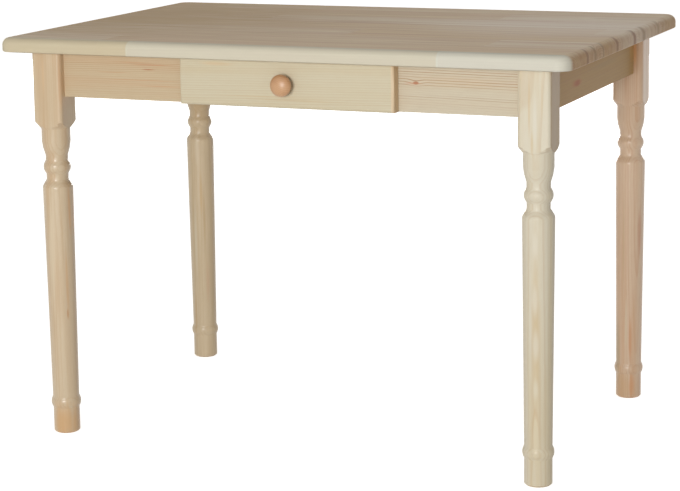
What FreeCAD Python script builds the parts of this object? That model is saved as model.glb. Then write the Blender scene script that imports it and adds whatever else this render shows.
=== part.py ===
import FreeCAD, Part

import math
import os

import Sketcher
from FreeCAD import Placement, Rotation, Vector

# Pine kitchen table with four turned legs and one drawer in the long front side.
# Origin: on the floor, under the middle of the top. +X runs along the table,
# -Y is the drawer side, +Z is up. Millimetres.

doc = FreeCAD.newDocument("PineTable")
sheet = doc.addObject("Spreadsheet::Sheet", "Sizes")

DRIVING_SIZES = {
    # table top
    "top_length": 1100,
    "top_width": 750,
    "top_thickness": 26,
    "top_corner_round": 28,
    "top_edge_round": 14,
    "top_arris_width": 2,
    "top_overhang": 45,
    # turned legs, heights from the floor up
    "leg_length": 740,
    "leg_block_width": 60,
    "leg_arris_radius": 8,
    "foot_radius": 25,
    "foot_chamfer": 3,
    "foot_height": 48.5,
    "low_bead_height": 22.5,
    "low_bead_radius": 28.3,
    "low_bead_crown_height": 8.5,
    "shaft_bottom_radius": 25.1,
    "shaft_top_radius": 28.65,
    "shoulder_height": 12.5,
    "lower_neck_height": 10.5,
    "lower_neck_radius": 20.7,
    "ring_height": 26.5,
    "ring_radius": 25.7,
    "ring_crown_height": 9,
    "upper_neck_height": 9.5,
    "upper_neck_radius": 21.1,
    "vase_height": 26.5,
    "vase_middle_radius": 25.1,
    "collar_height": 24,
    "collar_radius": 27.1,
    "block_length": 149.6,
    "block_taper": 1.2,
    # aprons and their tenons
    "apron_height": 88,
    "side_apron_height": 83,
    "apron_thickness": 20,
    "apron_setback": 17.5,
    "apron_arris_radius": 1.5,
    "tenon_length": 18,
    "tenon_thickness": 9,
    "tenon_shoulder": 12,
    "joint_gap": 0.1,
    "joint_end_gap": 1,
    # corner blocks
    "brace_thickness": 26,
    "brace_height": 60,
    "brace_gap": 3,
    # angle brackets under the top
    "bracket_leg": 28,
    "bracket_width": 16,
    "bracket_thickness": 2,
    "long_bracket_place": 320,
    "short_bracket_place": 120,
    # drawer front and its opening
    "drawer_offset": 15.5,
    "front_length": 416,
    "front_thickness": 22,
    "front_round": 5,
    "front_top_gap": 2,
    "front_apron_gap": 0.5,
    "opening_length": 384,
    "opening_sill": 16,
    "opening_head": 16,
    # drawer box
    "box_side_gap": 2,
    "box_slide_gap": 0.3,
    "box_top_gap": 1.7,
    "side_thickness": 12,
    "side_length": 500,
    "back_thickness": 12,
    "back_place": 420,
    "back_drop": 6,
    "bottom_rise": 8,
    "bottom_thickness": 4,
    "groove_depth": 5,
    "groove_gap": 0.3,
    "front_housing_depth": 8,
    "back_housing_depth": 4,
    # knob and its screw
    "knob_radius": 20,
    "knob_height": 28,
    "knob_neck_radius": 9.6,
    "knob_neck_height": 6.5,
    "knob_belt_bottom": 13.2,
    "knob_belt_top": 18.5,
    "knob_brow_radius": 14.8,
    "knob_brow_height": 24.6,
    "knob_screw_radius": 2,
    "knob_screw_depth": 14,
    "knob_screw_head_radius": 4.5,
    "knob_screw_head_height": 2.6,
    "screw_clearance": 0.1,
    # runners and kickers
    "runner_width": 39,
    "runner_height": 46,
    "runner_ledge_height": 14,
    "runner_ledge_width": 17,
    "runner_gap": 1,
    "runner_tenon_length": 10,
    "runner_tenon_thickness": 12,
    "runner_tenon_height": 26,
    "kicker_width": 30,
    # turn button behind the front apron
    "button_length": 33,
    "button_width": 14,
    "button_thickness": 10,
    "button_gap": 0.3,
    "button_screw_radius": 2,
    "button_screw_depth": 12,
    "button_head_radius": 4,
    "button_head_height": 2.2,
}

for row, (alias, size) in enumerate(DRIVING_SIZES.items(), start=1):
    sheet.set(f"A{row}", alias)
    sheet.set(f"B{row}", str(size))
    sheet.setAlias(f"B{row}", alias)
doc.recompute()

# Places worked out from the driving sizes, as expressions.
LEG_FACE_X = "(Sizes.top_length / 2 - Sizes.top_overhang)"
LEG_FACE_Y = "(Sizes.top_width / 2 - Sizes.top_overhang)"
LEG_X = f"({LEG_FACE_X} - Sizes.leg_block_width / 2)"
LEG_Y = f"({LEG_FACE_Y} - Sizes.leg_block_width / 2)"
APRON_OUT_X = f"({LEG_FACE_X} - Sizes.apron_setback)"
APRON_OUT_Y = f"({LEG_FACE_Y} - Sizes.apron_setback)"
APRON_IN_X = f"({APRON_OUT_X} - Sizes.apron_thickness)"
APRON_IN_Y = f"({APRON_OUT_Y} - Sizes.apron_thickness)"
LONG_APRON = f"(2 * {LEG_FACE_X} - 2 * Sizes.leg_block_width)"
SHORT_APRON = f"(2 * {LEG_FACE_Y} - 2 * Sizes.leg_block_width)"
APRON_BOTTOM = "(Sizes.leg_length - Sizes.apron_height)"
SIDE_APRON_BOTTOM = "(Sizes.leg_length - Sizes.side_apron_height)"
APRON_MIDDLE = "(Sizes.leg_length - Sizes.apron_height / 2)"

# Heights of the turned profile.
BEAD_TOP = "(Sizes.foot_height + Sizes.low_bead_height)"
BLOCK_BOTTOM = "(Sizes.leg_length - Sizes.block_length)"
VASE_TOP = f"({BLOCK_BOTTOM} - Sizes.collar_height)"
VASE_BOTTOM = f"({VASE_TOP} - Sizes.vase_height)"
RING_TOP = f"({VASE_BOTTOM} - Sizes.upper_neck_height)"
RING_BOTTOM = f"({RING_TOP} - Sizes.ring_height)"
SHOULDER_TOP = f"({RING_BOTTOM} - Sizes.lower_neck_height)"
SHAFT_TOP = f"({SHOULDER_TOP} - Sizes.shoulder_height)"

# How deep a leg's mortise is.
MORTISE_DEPTH = "(Sizes.tenon_length + Sizes.joint_end_gap)"

# Corner block: distances along the corner's diagonal from where the aprons' inner faces meet.
LEG_REACH = "(Sizes.leg_block_width - Sizes.apron_setback - Sizes.apron_thickness)"
LEG_CORNER = f"({LEG_REACH} * sqrt(2) - Sizes.leg_arris_radius * (sqrt(2) - 1))"
BRACE_NEAR = f"({LEG_CORNER} + Sizes.brace_gap)"
BRACE_FAR = f"({BRACE_NEAR} + Sizes.brace_thickness)"

# Drawer: the box stands on the runners' ledges, flush with the opening's sill.
SILL = f"({APRON_BOTTOM} + Sizes.opening_sill)"
HEAD = "(Sizes.leg_length - Sizes.opening_head)"
BOX_BOTTOM = f"({SILL} + Sizes.box_slide_gap)"
BOX_TOP = f"({HEAD} - Sizes.box_top_gap)"
BOX_HALF = "(Sizes.opening_length / 2 - Sizes.box_side_gap)"
BOX_INNER = f"(2 * {BOX_HALF} - 2 * Sizes.side_thickness)"
BOX_FRONT = f"(-{APRON_OUT_Y} - Sizes.front_apron_gap)"
FRONT_HEIGHT = "(Sizes.apron_height - Sizes.front_top_gap)"
FRONT_FACE = f"({BOX_FRONT} - Sizes.front_thickness)"
PANEL_BOTTOM = f"({BOX_BOTTOM} + Sizes.bottom_rise)"
PANEL_TOP = f"({PANEL_BOTTOM} + Sizes.bottom_thickness)"
PANEL_WIDTH = f"({BOX_INNER} + 2 * Sizes.groove_depth - 2 * Sizes.groove_gap)"
BACK_TOP = f"({BOX_TOP} - Sizes.back_drop)"
BOX_HEIGHT = f"({BOX_TOP} - {BOX_BOTTOM})"
SIDE_LINE = f"({BOX_HALF} - Sizes.side_thickness / 2)"
KNOB_HEIGHT = f"({APRON_BOTTOM} + {FRONT_HEIGHT} / 2)"
BUTTON_PIVOT = "(Sizes.leg_length - Sizes.opening_head / 2)"

PARTS = {}

# Lengths closer than this count as equal.
CLOSE = 1e-4

# Marks a long gentle taper of a turned piece, drawn as a spline of two poles.
TAPER = "taper"

# What an edge treatment calls its size.
EDGE_SIZE = {"Fillet": "Radius", "Chamfer": "Size"}


def value(expression):
    """The number that an expression of the sheet's sizes gives now."""
    return float(sheet.evalExpression(expression))


def keep(label, item):
    """Names a finished sub-part."""
    item.Label = label
    PARTS[label] = item
    return item


def place(item, x="0", y="0", z="0", turn=0.0, tilt=None):
    """Places a sub-part: turn is about Z in degrees, tilt is a rotation applied before it."""
    rotation = Rotation(Vector(0, 0, 1), turn)
    if tilt is not None:
        rotation = rotation.multiply(tilt)
    item.Placement = Placement(Vector(value(x), value(y), value(z)), rotation)
    for axis, expression in (("x", x), ("y", y), ("z", z)):
        if expression != "0":
            item.setExpression(f"Placement.Base.{axis}", expression)
    return item


def new_body(label):
    """An empty body for one solid piece."""
    return keep(label, doc.addObject("PartDesign::Body", label.title().replace("_", "")))


def new_sketch(body, name, plane, shift=None):
    """A sketch on one of the body's own planes, or moved from it along its normal."""
    sketch = body.newObject("Sketcher::SketchObject", f"{body.Name}{name}")
    support = next(f for f in body.Origin.OriginFeatures if f.Role == plane)
    sketch.AttachmentSupport = (support, [""])
    sketch.MapMode = "FlatFace"
    if shift is not None:
        sketch.setExpression("AttachmentOffset.Base.z", shift)
    return sketch


def pin_point(sketch, geometry, corner, x, y):
    """Ties a point of the sketch to its two coordinates, or to the axis where one is zero."""
    for kind, axis, expression in (("DistanceX", -2, x), ("DistanceY", -1, y)):
        size = value(expression)
        if abs(size) < CLOSE:
            sketch.addConstraint(Sketcher.Constraint("PointOnObject", geometry, corner, axis))
            continue
        constraint = Sketcher.Constraint(kind, -1, 1, geometry, corner, size)
        index = sketch.addConstraint(constraint)
        sketch.setExpression(f"Constraints[{index}]", expression)


def arc_through(start, middle, end):
    """An anticlockwise arc through three points, and whether it runs from start to end."""
    centre = Part.Circle(start, middle, end).Center
    forward = (middle - start).cross(end - middle).z > 0
    first, last = (start, end) if forward else (end, start)
    angles = [math.atan2(point.y - centre.y, point.x - centre.x) for point in (first, last)]
    if angles[1] < angles[0]:
        angles[1] += 2 * math.pi
    circle = Part.Circle(centre, Vector(0, 0, 1), centre.distanceToPoint(start))
    return Part.ArcOfCircle(circle, *angles), forward


def taper(start, end):
    """A straight spline from one point to another."""
    curve = Part.BSplineCurve()
    curve.buildFromPoles([start, end], False, 1)
    return curve


def draw_path(sketch, stops):
    """A closed outline of stops, each (x, y), with a third item where no plain line leads on.

    That item is the middle point (x, y) of an arc to the next stop, or TAPER.
    """
    points = [Vector(value(stop[0]), value(stop[1]), 0) for stop in stops]
    ends = []
    for index, stop in enumerate(stops):
        start, end = points[index], points[(index + 1) % len(points)]
        if len(stop) == 2 or stop[2] == TAPER:
            line = Part.LineSegment(start, end) if len(stop) == 2 else taper(start, end)
            ends.append((sketch.addGeometry(line), 1, 2))
            continue
        middle = Vector(*map(value, stop[2]))
        arc, forward = arc_through(start, middle, end)
        geometry = sketch.addGeometry(arc)
        ends.append((geometry, 1, 2) if forward else (geometry, 2, 1))
        mark = sketch.addGeometry(Part.Point(middle), True)
        pin_point(sketch, mark, 1, *stop[2])
        sketch.addConstraint(Sketcher.Constraint("PointOnObject", mark, 1, geometry))
    for index, (geometry, first, last) in enumerate(ends):
        following, next_first, _ = ends[(index + 1) % len(ends)]
        sketch.addConstraint(Sketcher.Constraint("Coincident", geometry, last, following, next_first))
        pin_point(sketch, geometry, first, stops[index][0], stops[index][1])


def draw_rectangle(sketch, left, bottom, width, height):
    """A rectangle from its lower left corner."""
    right, top = f"({left} + {width})", f"({bottom} + {height})"
    draw_path(sketch, [(left, bottom), (right, bottom), (right, top), (left, top)])


def draw_circles(sketch, radius, centres):
    """Circles of one radius at the centres given as pairs of expressions."""
    for x, y in centres:
        centre = Vector(value(x), value(y), 0)
        geometry = sketch.addGeometry(Part.Circle(centre, Vector(0, 0, 1), value(radius)))
        index = sketch.addConstraint(Sketcher.Constraint("Radius", geometry, value(radius)))
        sketch.setExpression(f"Constraints[{index}]", radius)
        pin_point(sketch, geometry, 3, x, y)


def pad(body, sketch, length, reverse=False):
    """Extrudes a sketch into solid wood, along its normal or against it."""
    feature = body.newObject("PartDesign::Pad", f"{sketch.Name}Pad")
    feature.Profile = sketch
    feature.Reversed = reverse
    feature.setExpression("Length", length)
    doc.recompute()
    return feature


def pocket(body, sketch, depth, reverse=False):
    """Cuts a sketch into the body, against its normal or along it, and proves that it cut."""
    before = body.Shape.Volume
    feature = body.newObject("PartDesign::Pocket", f"{sketch.Name}Pocket")
    feature.Profile = sketch
    feature.Reversed = reverse
    feature.setExpression("Length", depth)
    doc.recompute()
    if body.Shape.Volume > before - CLOSE:
        raise RuntimeError(f"{feature.Name} cuts nothing")
    return feature


def spin(body, sketch, kind):
    """Turns a sketch about its own Y axis, to add wood (Revolution) or to take it off (Groove)."""
    before = 0 if body.Shape.isNull() else body.Shape.Volume
    feature = body.newObject(f"PartDesign::{kind}", f"{sketch.Name}{kind}")
    feature.Profile = sketch
    feature.ReferenceAxis = (sketch, ["V_Axis"])
    feature.Angle = 360.0
    doc.recompute()
    if kind == "Groove" and body.Shape.Volume > before - CLOSE:
        raise RuntimeError(f"{feature.Name} cuts nothing")
    return feature


def ease_edges(body, name, kind, size, wanted):
    """Rounds (Fillet) or bevels (Chamfer) the edges of the body that the test picks."""
    base = body.Tip
    names = [f"Edge{i}" for i, edge in enumerate(base.Shape.Edges, start=1) if wanted(edge)]
    feature = body.newObject(f"PartDesign::{kind}", f"{body.Name}{name}")
    feature.Base = (base, names)
    feature.setExpression(EDGE_SIZE[kind], size)
    doc.recompute()
    return feature


def runs_along(edge, axis):
    """True for a straight edge along one of the body's axes (0, 1 or 2)."""
    box = edge.BoundBox
    spans = [box.XLength, box.YLength, box.ZLength]
    return all(span < CLOSE for i, span in enumerate(spans) if i != axis) and spans[axis] > CLOSE


def lies_at(edge, axis, level):
    """True for an edge that lies in the plane where one coordinate has the given value."""
    box = edge.BoundBox
    low = (box.XMin, box.YMin, box.ZMin)[axis]
    high = (box.XMax, box.YMax, box.ZMax)[axis]
    return abs(low - level) < CLOSE and abs(high - level) < CLOSE


def board(label, length, width, thickness):
    """A flat board: X from -length/2, Z from 0 to width, Y from 0 to thickness."""
    body = new_body(label)
    sketch = new_sketch(body, "Face", "XZ_Plane")
    draw_rectangle(sketch, f"(-{length} / 2)", "0", length, width)
    pad(body, sketch, thickness, reverse=True)
    return body


def rod(name, radius, length):
    """A plain round rod that stands on its own origin."""
    item = doc.addObject("Part::Cylinder", name)
    item.setExpression("Radius", radius)
    item.setExpression("Height", length)
    return item


def group(label, members):
    """One sub-part made of separate solids, such as a set of equal fasteners."""
    compound = doc.addObject("Part::Compound", label.title().replace("_", ""))
    compound.Links = members
    return keep(label, compound)


def copies(item, stem, places):
    """Places an item and links of it: places are keyword dictionaries for place()."""
    members = [item]
    place(item, **places[0])
    for index, where in enumerate(places[1:], start=2):
        link = doc.addObject("App::Link", f"{stem}{index}")
        link.LinkedObject = item
        members.append(place(link, **where))
    return members


TO_MINUS_Y = Rotation(Vector(1, 0, 0), 90)

# Each corner: sign of x, sign of y, and the turn that brings a front left piece there.
CORNERS = {
    "front_left": (-1, -1, 0),
    "front_right": (1, -1, 90),
    "back_right": (1, 1, 180),
    "back_left": (-1, 1, 270),
}


def signed(sign, expression):
    """The expression with a sign in front."""
    return f"({sign} * {expression})"


# ---------------------------------------------------------------- table top


def make_top():
    """The glued panel: corners rounded in plan, upper edge rounded over, lower arris bevelled."""
    body = new_body("table_top")
    sketch = new_sketch(body, "Plan", "XY_Plane")
    length, width = "Sizes.top_length", "Sizes.top_width"
    draw_rectangle(sketch, f"(-{length} / 2)", f"(-{width} / 2)", length, width)
    pad(body, sketch, "Sizes.top_thickness")
    rounded = "Sizes.top_corner_round"
    ease_edges(body, "Corners", "Fillet", rounded, lambda edge: runs_along(edge, 2))
    upper = value("Sizes.top_thickness")
    over = "Sizes.top_edge_round"
    ease_edges(body, "UpperEdge", "Fillet", over, lambda edge: lies_at(edge, 2, upper))
    bevel = "Sizes.top_arris_width"
    ease_edges(body, "LowerEdge", "Chamfer", bevel, lambda edge: lies_at(edge, 2, 0.0))
    place(body, z="Sizes.leg_length")


# ---------------------------------------------------------------- turned legs


def crown(radius, length, bottom, top):
    """The straight crown of a turned bead, halfway between its bottom and its top."""
    middle = f"(({bottom} + {top}) / 2)"
    return [(radius, f"({middle} - {length} / 2)"), (radius, f"({middle} + {length} / 2)")]


def draw_turning(sketch):
    """The lathe profile from the foot up to the block, as radius against height."""
    foot_radius, foot_chamfer = "Sizes.foot_radius", "Sizes.foot_chamfer"
    lower_neck, upper_neck = "Sizes.lower_neck_radius", "Sizes.upper_neck_radius"
    low_bead = ("Sizes.low_bead_radius", "Sizes.low_bead_crown_height")
    ring = ("Sizes.ring_radius", "Sizes.ring_crown_height")
    vase_middle = f"(({VASE_BOTTOM} + {VASE_TOP}) / 2)"
    draw_path(
        sketch,
        [
            ("0", "0"),
            (f"({foot_radius} - {foot_chamfer})", "0"),
            (foot_radius, foot_chamfer),
            (foot_radius, "Sizes.foot_height"),
            *crown(*low_bead, "Sizes.foot_height", BEAD_TOP),
            ("Sizes.shaft_bottom_radius", BEAD_TOP, TAPER),
            ("Sizes.shaft_top_radius", SHAFT_TOP),
            (lower_neck, SHOULDER_TOP),
            (lower_neck, RING_BOTTOM),
            *crown(*ring, RING_BOTTOM, RING_TOP),
            (upper_neck, RING_TOP),
            (upper_neck, VASE_BOTTOM, TAPER),
            ("Sizes.vase_middle_radius", vase_middle, TAPER),
            ("Sizes.collar_radius", VASE_TOP),
            ("Sizes.collar_radius", BLOCK_BOTTOM),
            ("0", BLOCK_BOTTOM),
        ],
    )


def make_leg(corner, sign_x, sign_y, turn):
    """One leg: a square block with rounded arrises and two mortises above the turned part."""
    body = new_body(f"leg_{corner}")
    block = new_sketch(body, "Block", "XY_Plane", BLOCK_BOTTOM)
    side, half = "Sizes.leg_block_width", "(-Sizes.leg_block_width / 2)"
    draw_rectangle(block, half, half, side, side)
    pad(body, block, "Sizes.block_length")
    rounded = "Sizes.leg_arris_radius"
    ease_edges(body, "Arrises", "Fillet", rounded, lambda edge: runs_along(edge, 2))
    # the lathe takes the block's lower corners off in a cone
    cone = new_sketch(body, "Cone", "XZ_Plane")
    collar, reach = "Sizes.collar_radius", "(Sizes.leg_block_width * 0.75)"
    cone_top = f"({BLOCK_BOTTOM} + ({reach} - {collar}) * Sizes.block_taper)"
    draw_path(cone, [(collar, BLOCK_BOTTOM), (reach, BLOCK_BOTTOM), (reach, cone_top)])
    spin(body, cone, "Groove")
    turning = new_sketch(body, "Turning", "XZ_Plane")
    draw_turning(turning)
    spin(body, turning, "Revolution")
    # a mortise in each inner face, where the long and the side apron come in
    heights = ["Sizes.apron_height", "Sizes.side_apron_height"]
    if sign_x != sign_y:
        heights.reverse()
    face_x = new_sketch(body, "MortiseX", "YZ_Plane", "(Sizes.leg_block_width / 2)")
    draw_mortise(face_x, heights[0])
    pocket(body, face_x, MORTISE_DEPTH)
    face_y = new_sketch(body, "MortiseY", "XZ_Plane", "(-Sizes.leg_block_width / 2)")
    draw_mortise(face_y, heights[1])
    pocket(body, face_y, MORTISE_DEPTH, reverse=True)
    place(body, signed(sign_x, LEG_X), signed(sign_y, LEG_Y), turn=turn)


def draw_mortise(sketch, apron_height):
    """The mouth of a leg's mortise, around the tenon of an apron of the given height."""
    line = "(Sizes.apron_setback + Sizes.apron_thickness / 2 - Sizes.leg_block_width / 2)"
    bottom = f"(Sizes.leg_length - {apron_height} + Sizes.tenon_shoulder)"
    height = f"({apron_height} - 2 * Sizes.tenon_shoulder)"
    draw_socket(sketch, line, bottom, "Sizes.tenon_thickness", height)


def draw_socket(sketch, line, bottom, width, height):
    """A rectangle that clears a tenon all round: the tenon stands on bottom, centred on the line."""
    gap = "Sizes.joint_gap"
    left, low = f"({line} - {width} / 2 - {gap})", f"({bottom} - {gap})"
    draw_rectangle(sketch, left, low, f"({width} + 2 * {gap})", f"({height} + 2 * {gap})")


# ---------------------------------------------------------------- aprons


def make_apron(label, length, height):
    """An apron board with a tenon at each end: outer face at y 0, lower arrises rounded."""
    body = board(label, length, height, "Sizes.apron_thickness")
    ease_edges(
        body,
        "Arris",
        "Fillet",
        "Sizes.apron_arris_radius",
        lambda edge: runs_along(edge, 0) and lies_at(edge, 2, 0.0),
    )
    shoulder, thick = "Sizes.tenon_shoulder", "Sizes.tenon_thickness"
    reach = f"({length} + 2 * Sizes.tenon_length)"
    tenons = new_sketch(body, "Tenons", "XZ_Plane", f"(({thick} - Sizes.apron_thickness) / 2)")
    draw_rectangle(tenons, f"(-{reach} / 2)", shoulder, reach, f"({height} - 2 * {shoulder})")
    pad(body, tenons, thick, reverse=True)
    return body


def make_aprons():
    """Front apron with the drawer opening and runner mortises, back apron and the side aprons."""
    front = make_apron("front_apron", LONG_APRON, "Sizes.apron_height")
    opening = new_sketch(front, "Opening", "XZ_Plane")
    height = "(Sizes.apron_height - Sizes.opening_sill - Sizes.opening_head)"
    left = "(Sizes.drawer_offset - Sizes.opening_length / 2)"
    draw_rectangle(opening, left, "Sizes.opening_sill", "Sizes.opening_length", height)
    pocket(front, opening, "Sizes.apron_thickness")
    pivot = new_sketch(front, "ButtonScrew", "XZ_Plane", "(-Sizes.apron_thickness)")
    pilot = "(Sizes.button_screw_radius + Sizes.screw_clearance)"
    head = "(Sizes.apron_height - Sizes.opening_head / 2)"
    draw_circles(pivot, pilot, [("Sizes.drawer_offset", head)])
    pocket(front, pivot, "(Sizes.button_screw_depth + Sizes.screw_clearance)", reverse=True)
    back = make_apron("back_apron", LONG_APRON, "Sizes.apron_height")
    bottom = f"({RUNNER_BOTTOM} + {RUNNER_TENON_RISE} - {APRON_BOTTOM})"
    depth = "(Sizes.runner_tenon_length + Sizes.joint_end_gap)"
    for apron, facing in ((front, 1), (back, -1)):
        for name, side in (("LeftMortise", -1), ("RightMortise", 1)):
            line = f"({facing} * (Sizes.drawer_offset + {side} * {RUNNER_TENON_LINE}))"
            mortise = new_sketch(apron, name, "XZ_Plane", "(-Sizes.apron_thickness)")
            size = ("Sizes.runner_tenon_thickness", "Sizes.runner_tenon_height")
            draw_socket(mortise, line, bottom, *size)
            pocket(apron, mortise, depth, reverse=True)
    right = make_apron("side_apron_right", SHORT_APRON, "Sizes.side_apron_height")
    left_side = make_apron("side_apron_left", SHORT_APRON, "Sizes.side_apron_height")
    place(front, y=f"(-{APRON_OUT_Y})", z=APRON_BOTTOM)
    place(back, y=APRON_OUT_Y, z=APRON_BOTTOM, turn=180)
    place(right, x=APRON_OUT_X, z=SIDE_APRON_BOTTOM, turn=90)
    place(left_side, x=f"(-{APRON_OUT_X})", z=SIDE_APRON_BOTTOM, turn=-90)


# ---------------------------------------------------------------- corner blocks


def make_corner_block(corner, sign_x, sign_y, turn):
    """A mitred block glued across the corner, from apron to apron behind the leg."""
    body = new_body(f"corner_block_{corner}")
    plan = new_sketch(body, "Plan", "XY_Plane")
    near, far = BRACE_NEAR, BRACE_FAR
    draw_path(plan, [(f"(-{near})", near), (near, near), (far, far), (f"(-{far})", far)])
    pad(body, plan, "Sizes.brace_height")
    bottom = f"({APRON_MIDDLE} - Sizes.brace_height / 2)"
    place(body, signed(sign_x, APRON_IN_X), signed(sign_y, APRON_IN_Y), bottom, turn=turn - 45)


# ---------------------------------------------------------------- angle brackets


def make_brackets():
    """Bent steel angles that hold the top down on the aprons, two on each apron."""
    body = doc.addObject("PartDesign::Body", "BracketShape")
    profile = new_sketch(body, "Profile", "YZ_Plane", "(-Sizes.bracket_width / 2)")
    reach, thick = "Sizes.bracket_leg", "Sizes.bracket_thickness"
    down, under = f"(-{reach})", f"(-{thick})"
    corners = [("0", down), (thick, down), (thick, under), (reach, under), (reach, "0"), ("0", "0")]
    draw_path(profile, corners)
    pad(body, profile, "Sizes.bracket_width")
    places = []
    for side in (-1, 1):
        along = f"({side} * Sizes.long_bracket_place)"
        across = f"({side} * Sizes.short_bracket_place)"
        under = "Sizes.leg_length"
        places.append(dict(x=along, y=f"(-{APRON_IN_Y})", z=under))
        places.append(dict(x=along, y=APRON_IN_Y, z=under, turn=180))
        places.append(dict(x=f"(-{APRON_IN_X})", y=across, z=under, turn=-90))
        places.append(dict(x=APRON_IN_X, y=across, z=under, turn=90))
    group("top_brackets", copies(body, "Bracket", places))


# ---------------------------------------------------------------- runners and kickers

RUNNER_FACE = f"({BOX_HALF} + Sizes.runner_gap)"
RUNNER_INNER = f"({RUNNER_FACE} - Sizes.runner_ledge_width)"
RUNNER_OUTER = f"({RUNNER_INNER} + Sizes.runner_width)"
RUNNER_TENON_LINE = f"(({RUNNER_FACE} + {RUNNER_OUTER}) / 2)"
RUNNER_TENON_RISE = "((Sizes.runner_height - Sizes.runner_tenon_height) / 2)"
RUNNER_BOTTOM = f"({SILL} - Sizes.runner_ledge_height)"
RUNNER_LENGTH = f"(2 * {APRON_IN_Y})"


def make_runners():
    """Rebated runners tenoned into both long aprons: the drawer slides on the ledge."""
    for name, side in (("left", -1), ("right", 1)):
        body = new_body(f"runner_{name}")
        profile = new_sketch(body, "Profile", "XZ_Plane")
        face, inner, outer = (signed(side, x) for x in (RUNNER_FACE, RUNNER_INNER, RUNNER_OUTER))
        ledge = "Sizes.runner_ledge_height"
        draw_path(
            profile,
            [
                (inner, "0"),
                (outer, "0"),
                (outer, "Sizes.runner_height"),
                (face, "Sizes.runner_height"),
                (face, ledge),
                (inner, ledge),
            ],
        )
        pad(body, profile, RUNNER_LENGTH, reverse=True)
        thick, reach = "Sizes.runner_tenon_thickness", "Sizes.runner_tenon_length"
        left = f"({side} * {RUNNER_TENON_LINE} - {thick} / 2)"
        tenons = new_sketch(body, "Tenons", "XZ_Plane", reach)
        draw_rectangle(tenons, left, RUNNER_TENON_RISE, thick, "Sizes.runner_tenon_height")
        pad(body, tenons, f"({RUNNER_LENGTH} + 2 * {reach})", reverse=True)
        place(body, "Sizes.drawer_offset", f"(-{APRON_IN_Y})", RUNNER_BOTTOM)


def make_kickers():
    """Battens glued under the top, above the drawer sides, that keep the open drawer level."""
    for name, side in (("left", -1), ("right", 1)):
        body = board(f"kicker_{name}", "Sizes.kicker_width", "Sizes.opening_head", RUNNER_LENGTH)
        x = f"(Sizes.drawer_offset + {side} * {SIDE_LINE})"
        place(body, x, f"(-{APRON_IN_Y})", HEAD)


# ---------------------------------------------------------------- drawer


def make_drawer_front():
    """The lay-on front: front arrises rounded, housings for the sides, a groove for the bottom."""
    body = board("drawer_front", "Sizes.front_length", FRONT_HEIGHT, "Sizes.front_thickness")
    rounded = "Sizes.front_round"
    ease_edges(body, "Round", "Fillet", rounded, lambda edge: lies_at(edge, 1, 0.0))
    back = "(-Sizes.front_thickness)"
    low = f"({BOX_BOTTOM} - {APRON_BOTTOM})"
    for name, side in (("LeftHousing", -1), ("RightHousing", 1)):
        housing = new_sketch(body, name, "XZ_Plane", back)
        draw_socket(housing, signed(side, SIDE_LINE), low, "Sizes.side_thickness", BOX_HEIGHT)
        pocket(body, housing, "(Sizes.front_housing_depth + Sizes.joint_gap)", reverse=True)
    groove = new_sketch(body, "Groove", "XZ_Plane", back)
    width = f"({BOX_INNER} + 2 * Sizes.groove_depth)"
    level = f"({low} + Sizes.bottom_rise)"
    draw_rectangle(groove, f"(-{width} / 2)", level, width, "Sizes.bottom_thickness")
    pocket(body, groove, "Sizes.groove_depth", reverse=True)
    screw = new_sketch(body, "Screw", "XZ_Plane", back)
    screw_hole = "(Sizes.knob_screw_radius + Sizes.screw_clearance)"
    draw_circles(screw, screw_hole, [("0", f"({FRONT_HEIGHT} / 2)")])
    pocket(body, screw, "Sizes.front_thickness", reverse=True)
    place(body, "Sizes.drawer_offset", FRONT_FACE, APRON_BOTTOM)


def make_drawer_sides():
    """Drawer sides, grooved for the bottom and housed for the back, let into the front."""
    start, run = "(-Sizes.front_housing_depth)", "(Sizes.side_length + Sizes.front_housing_depth)"
    rise, thick = "Sizes.bottom_rise", "Sizes.bottom_thickness"
    for name, side in (("left", -1), ("right", 1)):
        body = new_body(f"drawer_side_{name}")
        face = new_sketch(body, "Face", "YZ_Plane", "(-Sizes.side_thickness / 2)")
        draw_rectangle(face, start, "0", run, BOX_HEIGHT)
        pad(body, face, "Sizes.side_thickness")
        inner = f"({-side} * Sizes.side_thickness / 2)"
        groove = new_sketch(body, "Groove", "YZ_Plane", inner)
        draw_rectangle(groove, start, rise, run, thick)
        pocket(body, groove, "Sizes.groove_depth", reverse=side > 0)
        housing = new_sketch(body, "Housing", "YZ_Plane", inner)
        left, bottom = "(Sizes.back_place - Sizes.joint_gap)", f"({rise} + {thick})"
        wide = "(Sizes.back_thickness + 2 * Sizes.joint_gap)"
        draw_rectangle(housing, left, bottom, wide, f"({BOX_HEIGHT} - {bottom})")
        pocket(body, housing, "Sizes.back_housing_depth", reverse=side > 0)
        x = f"(Sizes.drawer_offset + {side} * {SIDE_LINE})"
        place(body, x, BOX_FRONT, BOX_BOTTOM)


def make_drawer_back():
    """Drawer back let into both sides, standing on the bottom panel, lower than the sides."""
    length = f"({BOX_INNER} + 2 * (Sizes.back_housing_depth - Sizes.joint_gap))"
    body = board("drawer_back", length, f"({BACK_TOP} - {PANEL_TOP})", "Sizes.back_thickness")
    place(body, "Sizes.drawer_offset", f"({BOX_FRONT} + Sizes.back_place)", PANEL_TOP)


def make_drawer_bottom():
    """Thin panel held in the grooves of the front and sides, running under the back."""
    lap = "(Sizes.groove_depth - Sizes.groove_gap)"
    depth = f"(Sizes.back_place + Sizes.back_thickness + {lap})"
    body = board("drawer_bottom", PANEL_WIDTH, "Sizes.bottom_thickness", depth)
    place(body, "Sizes.drawer_offset", f"({BOX_FRONT} - {lap})", PANEL_BOTTOM)


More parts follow.
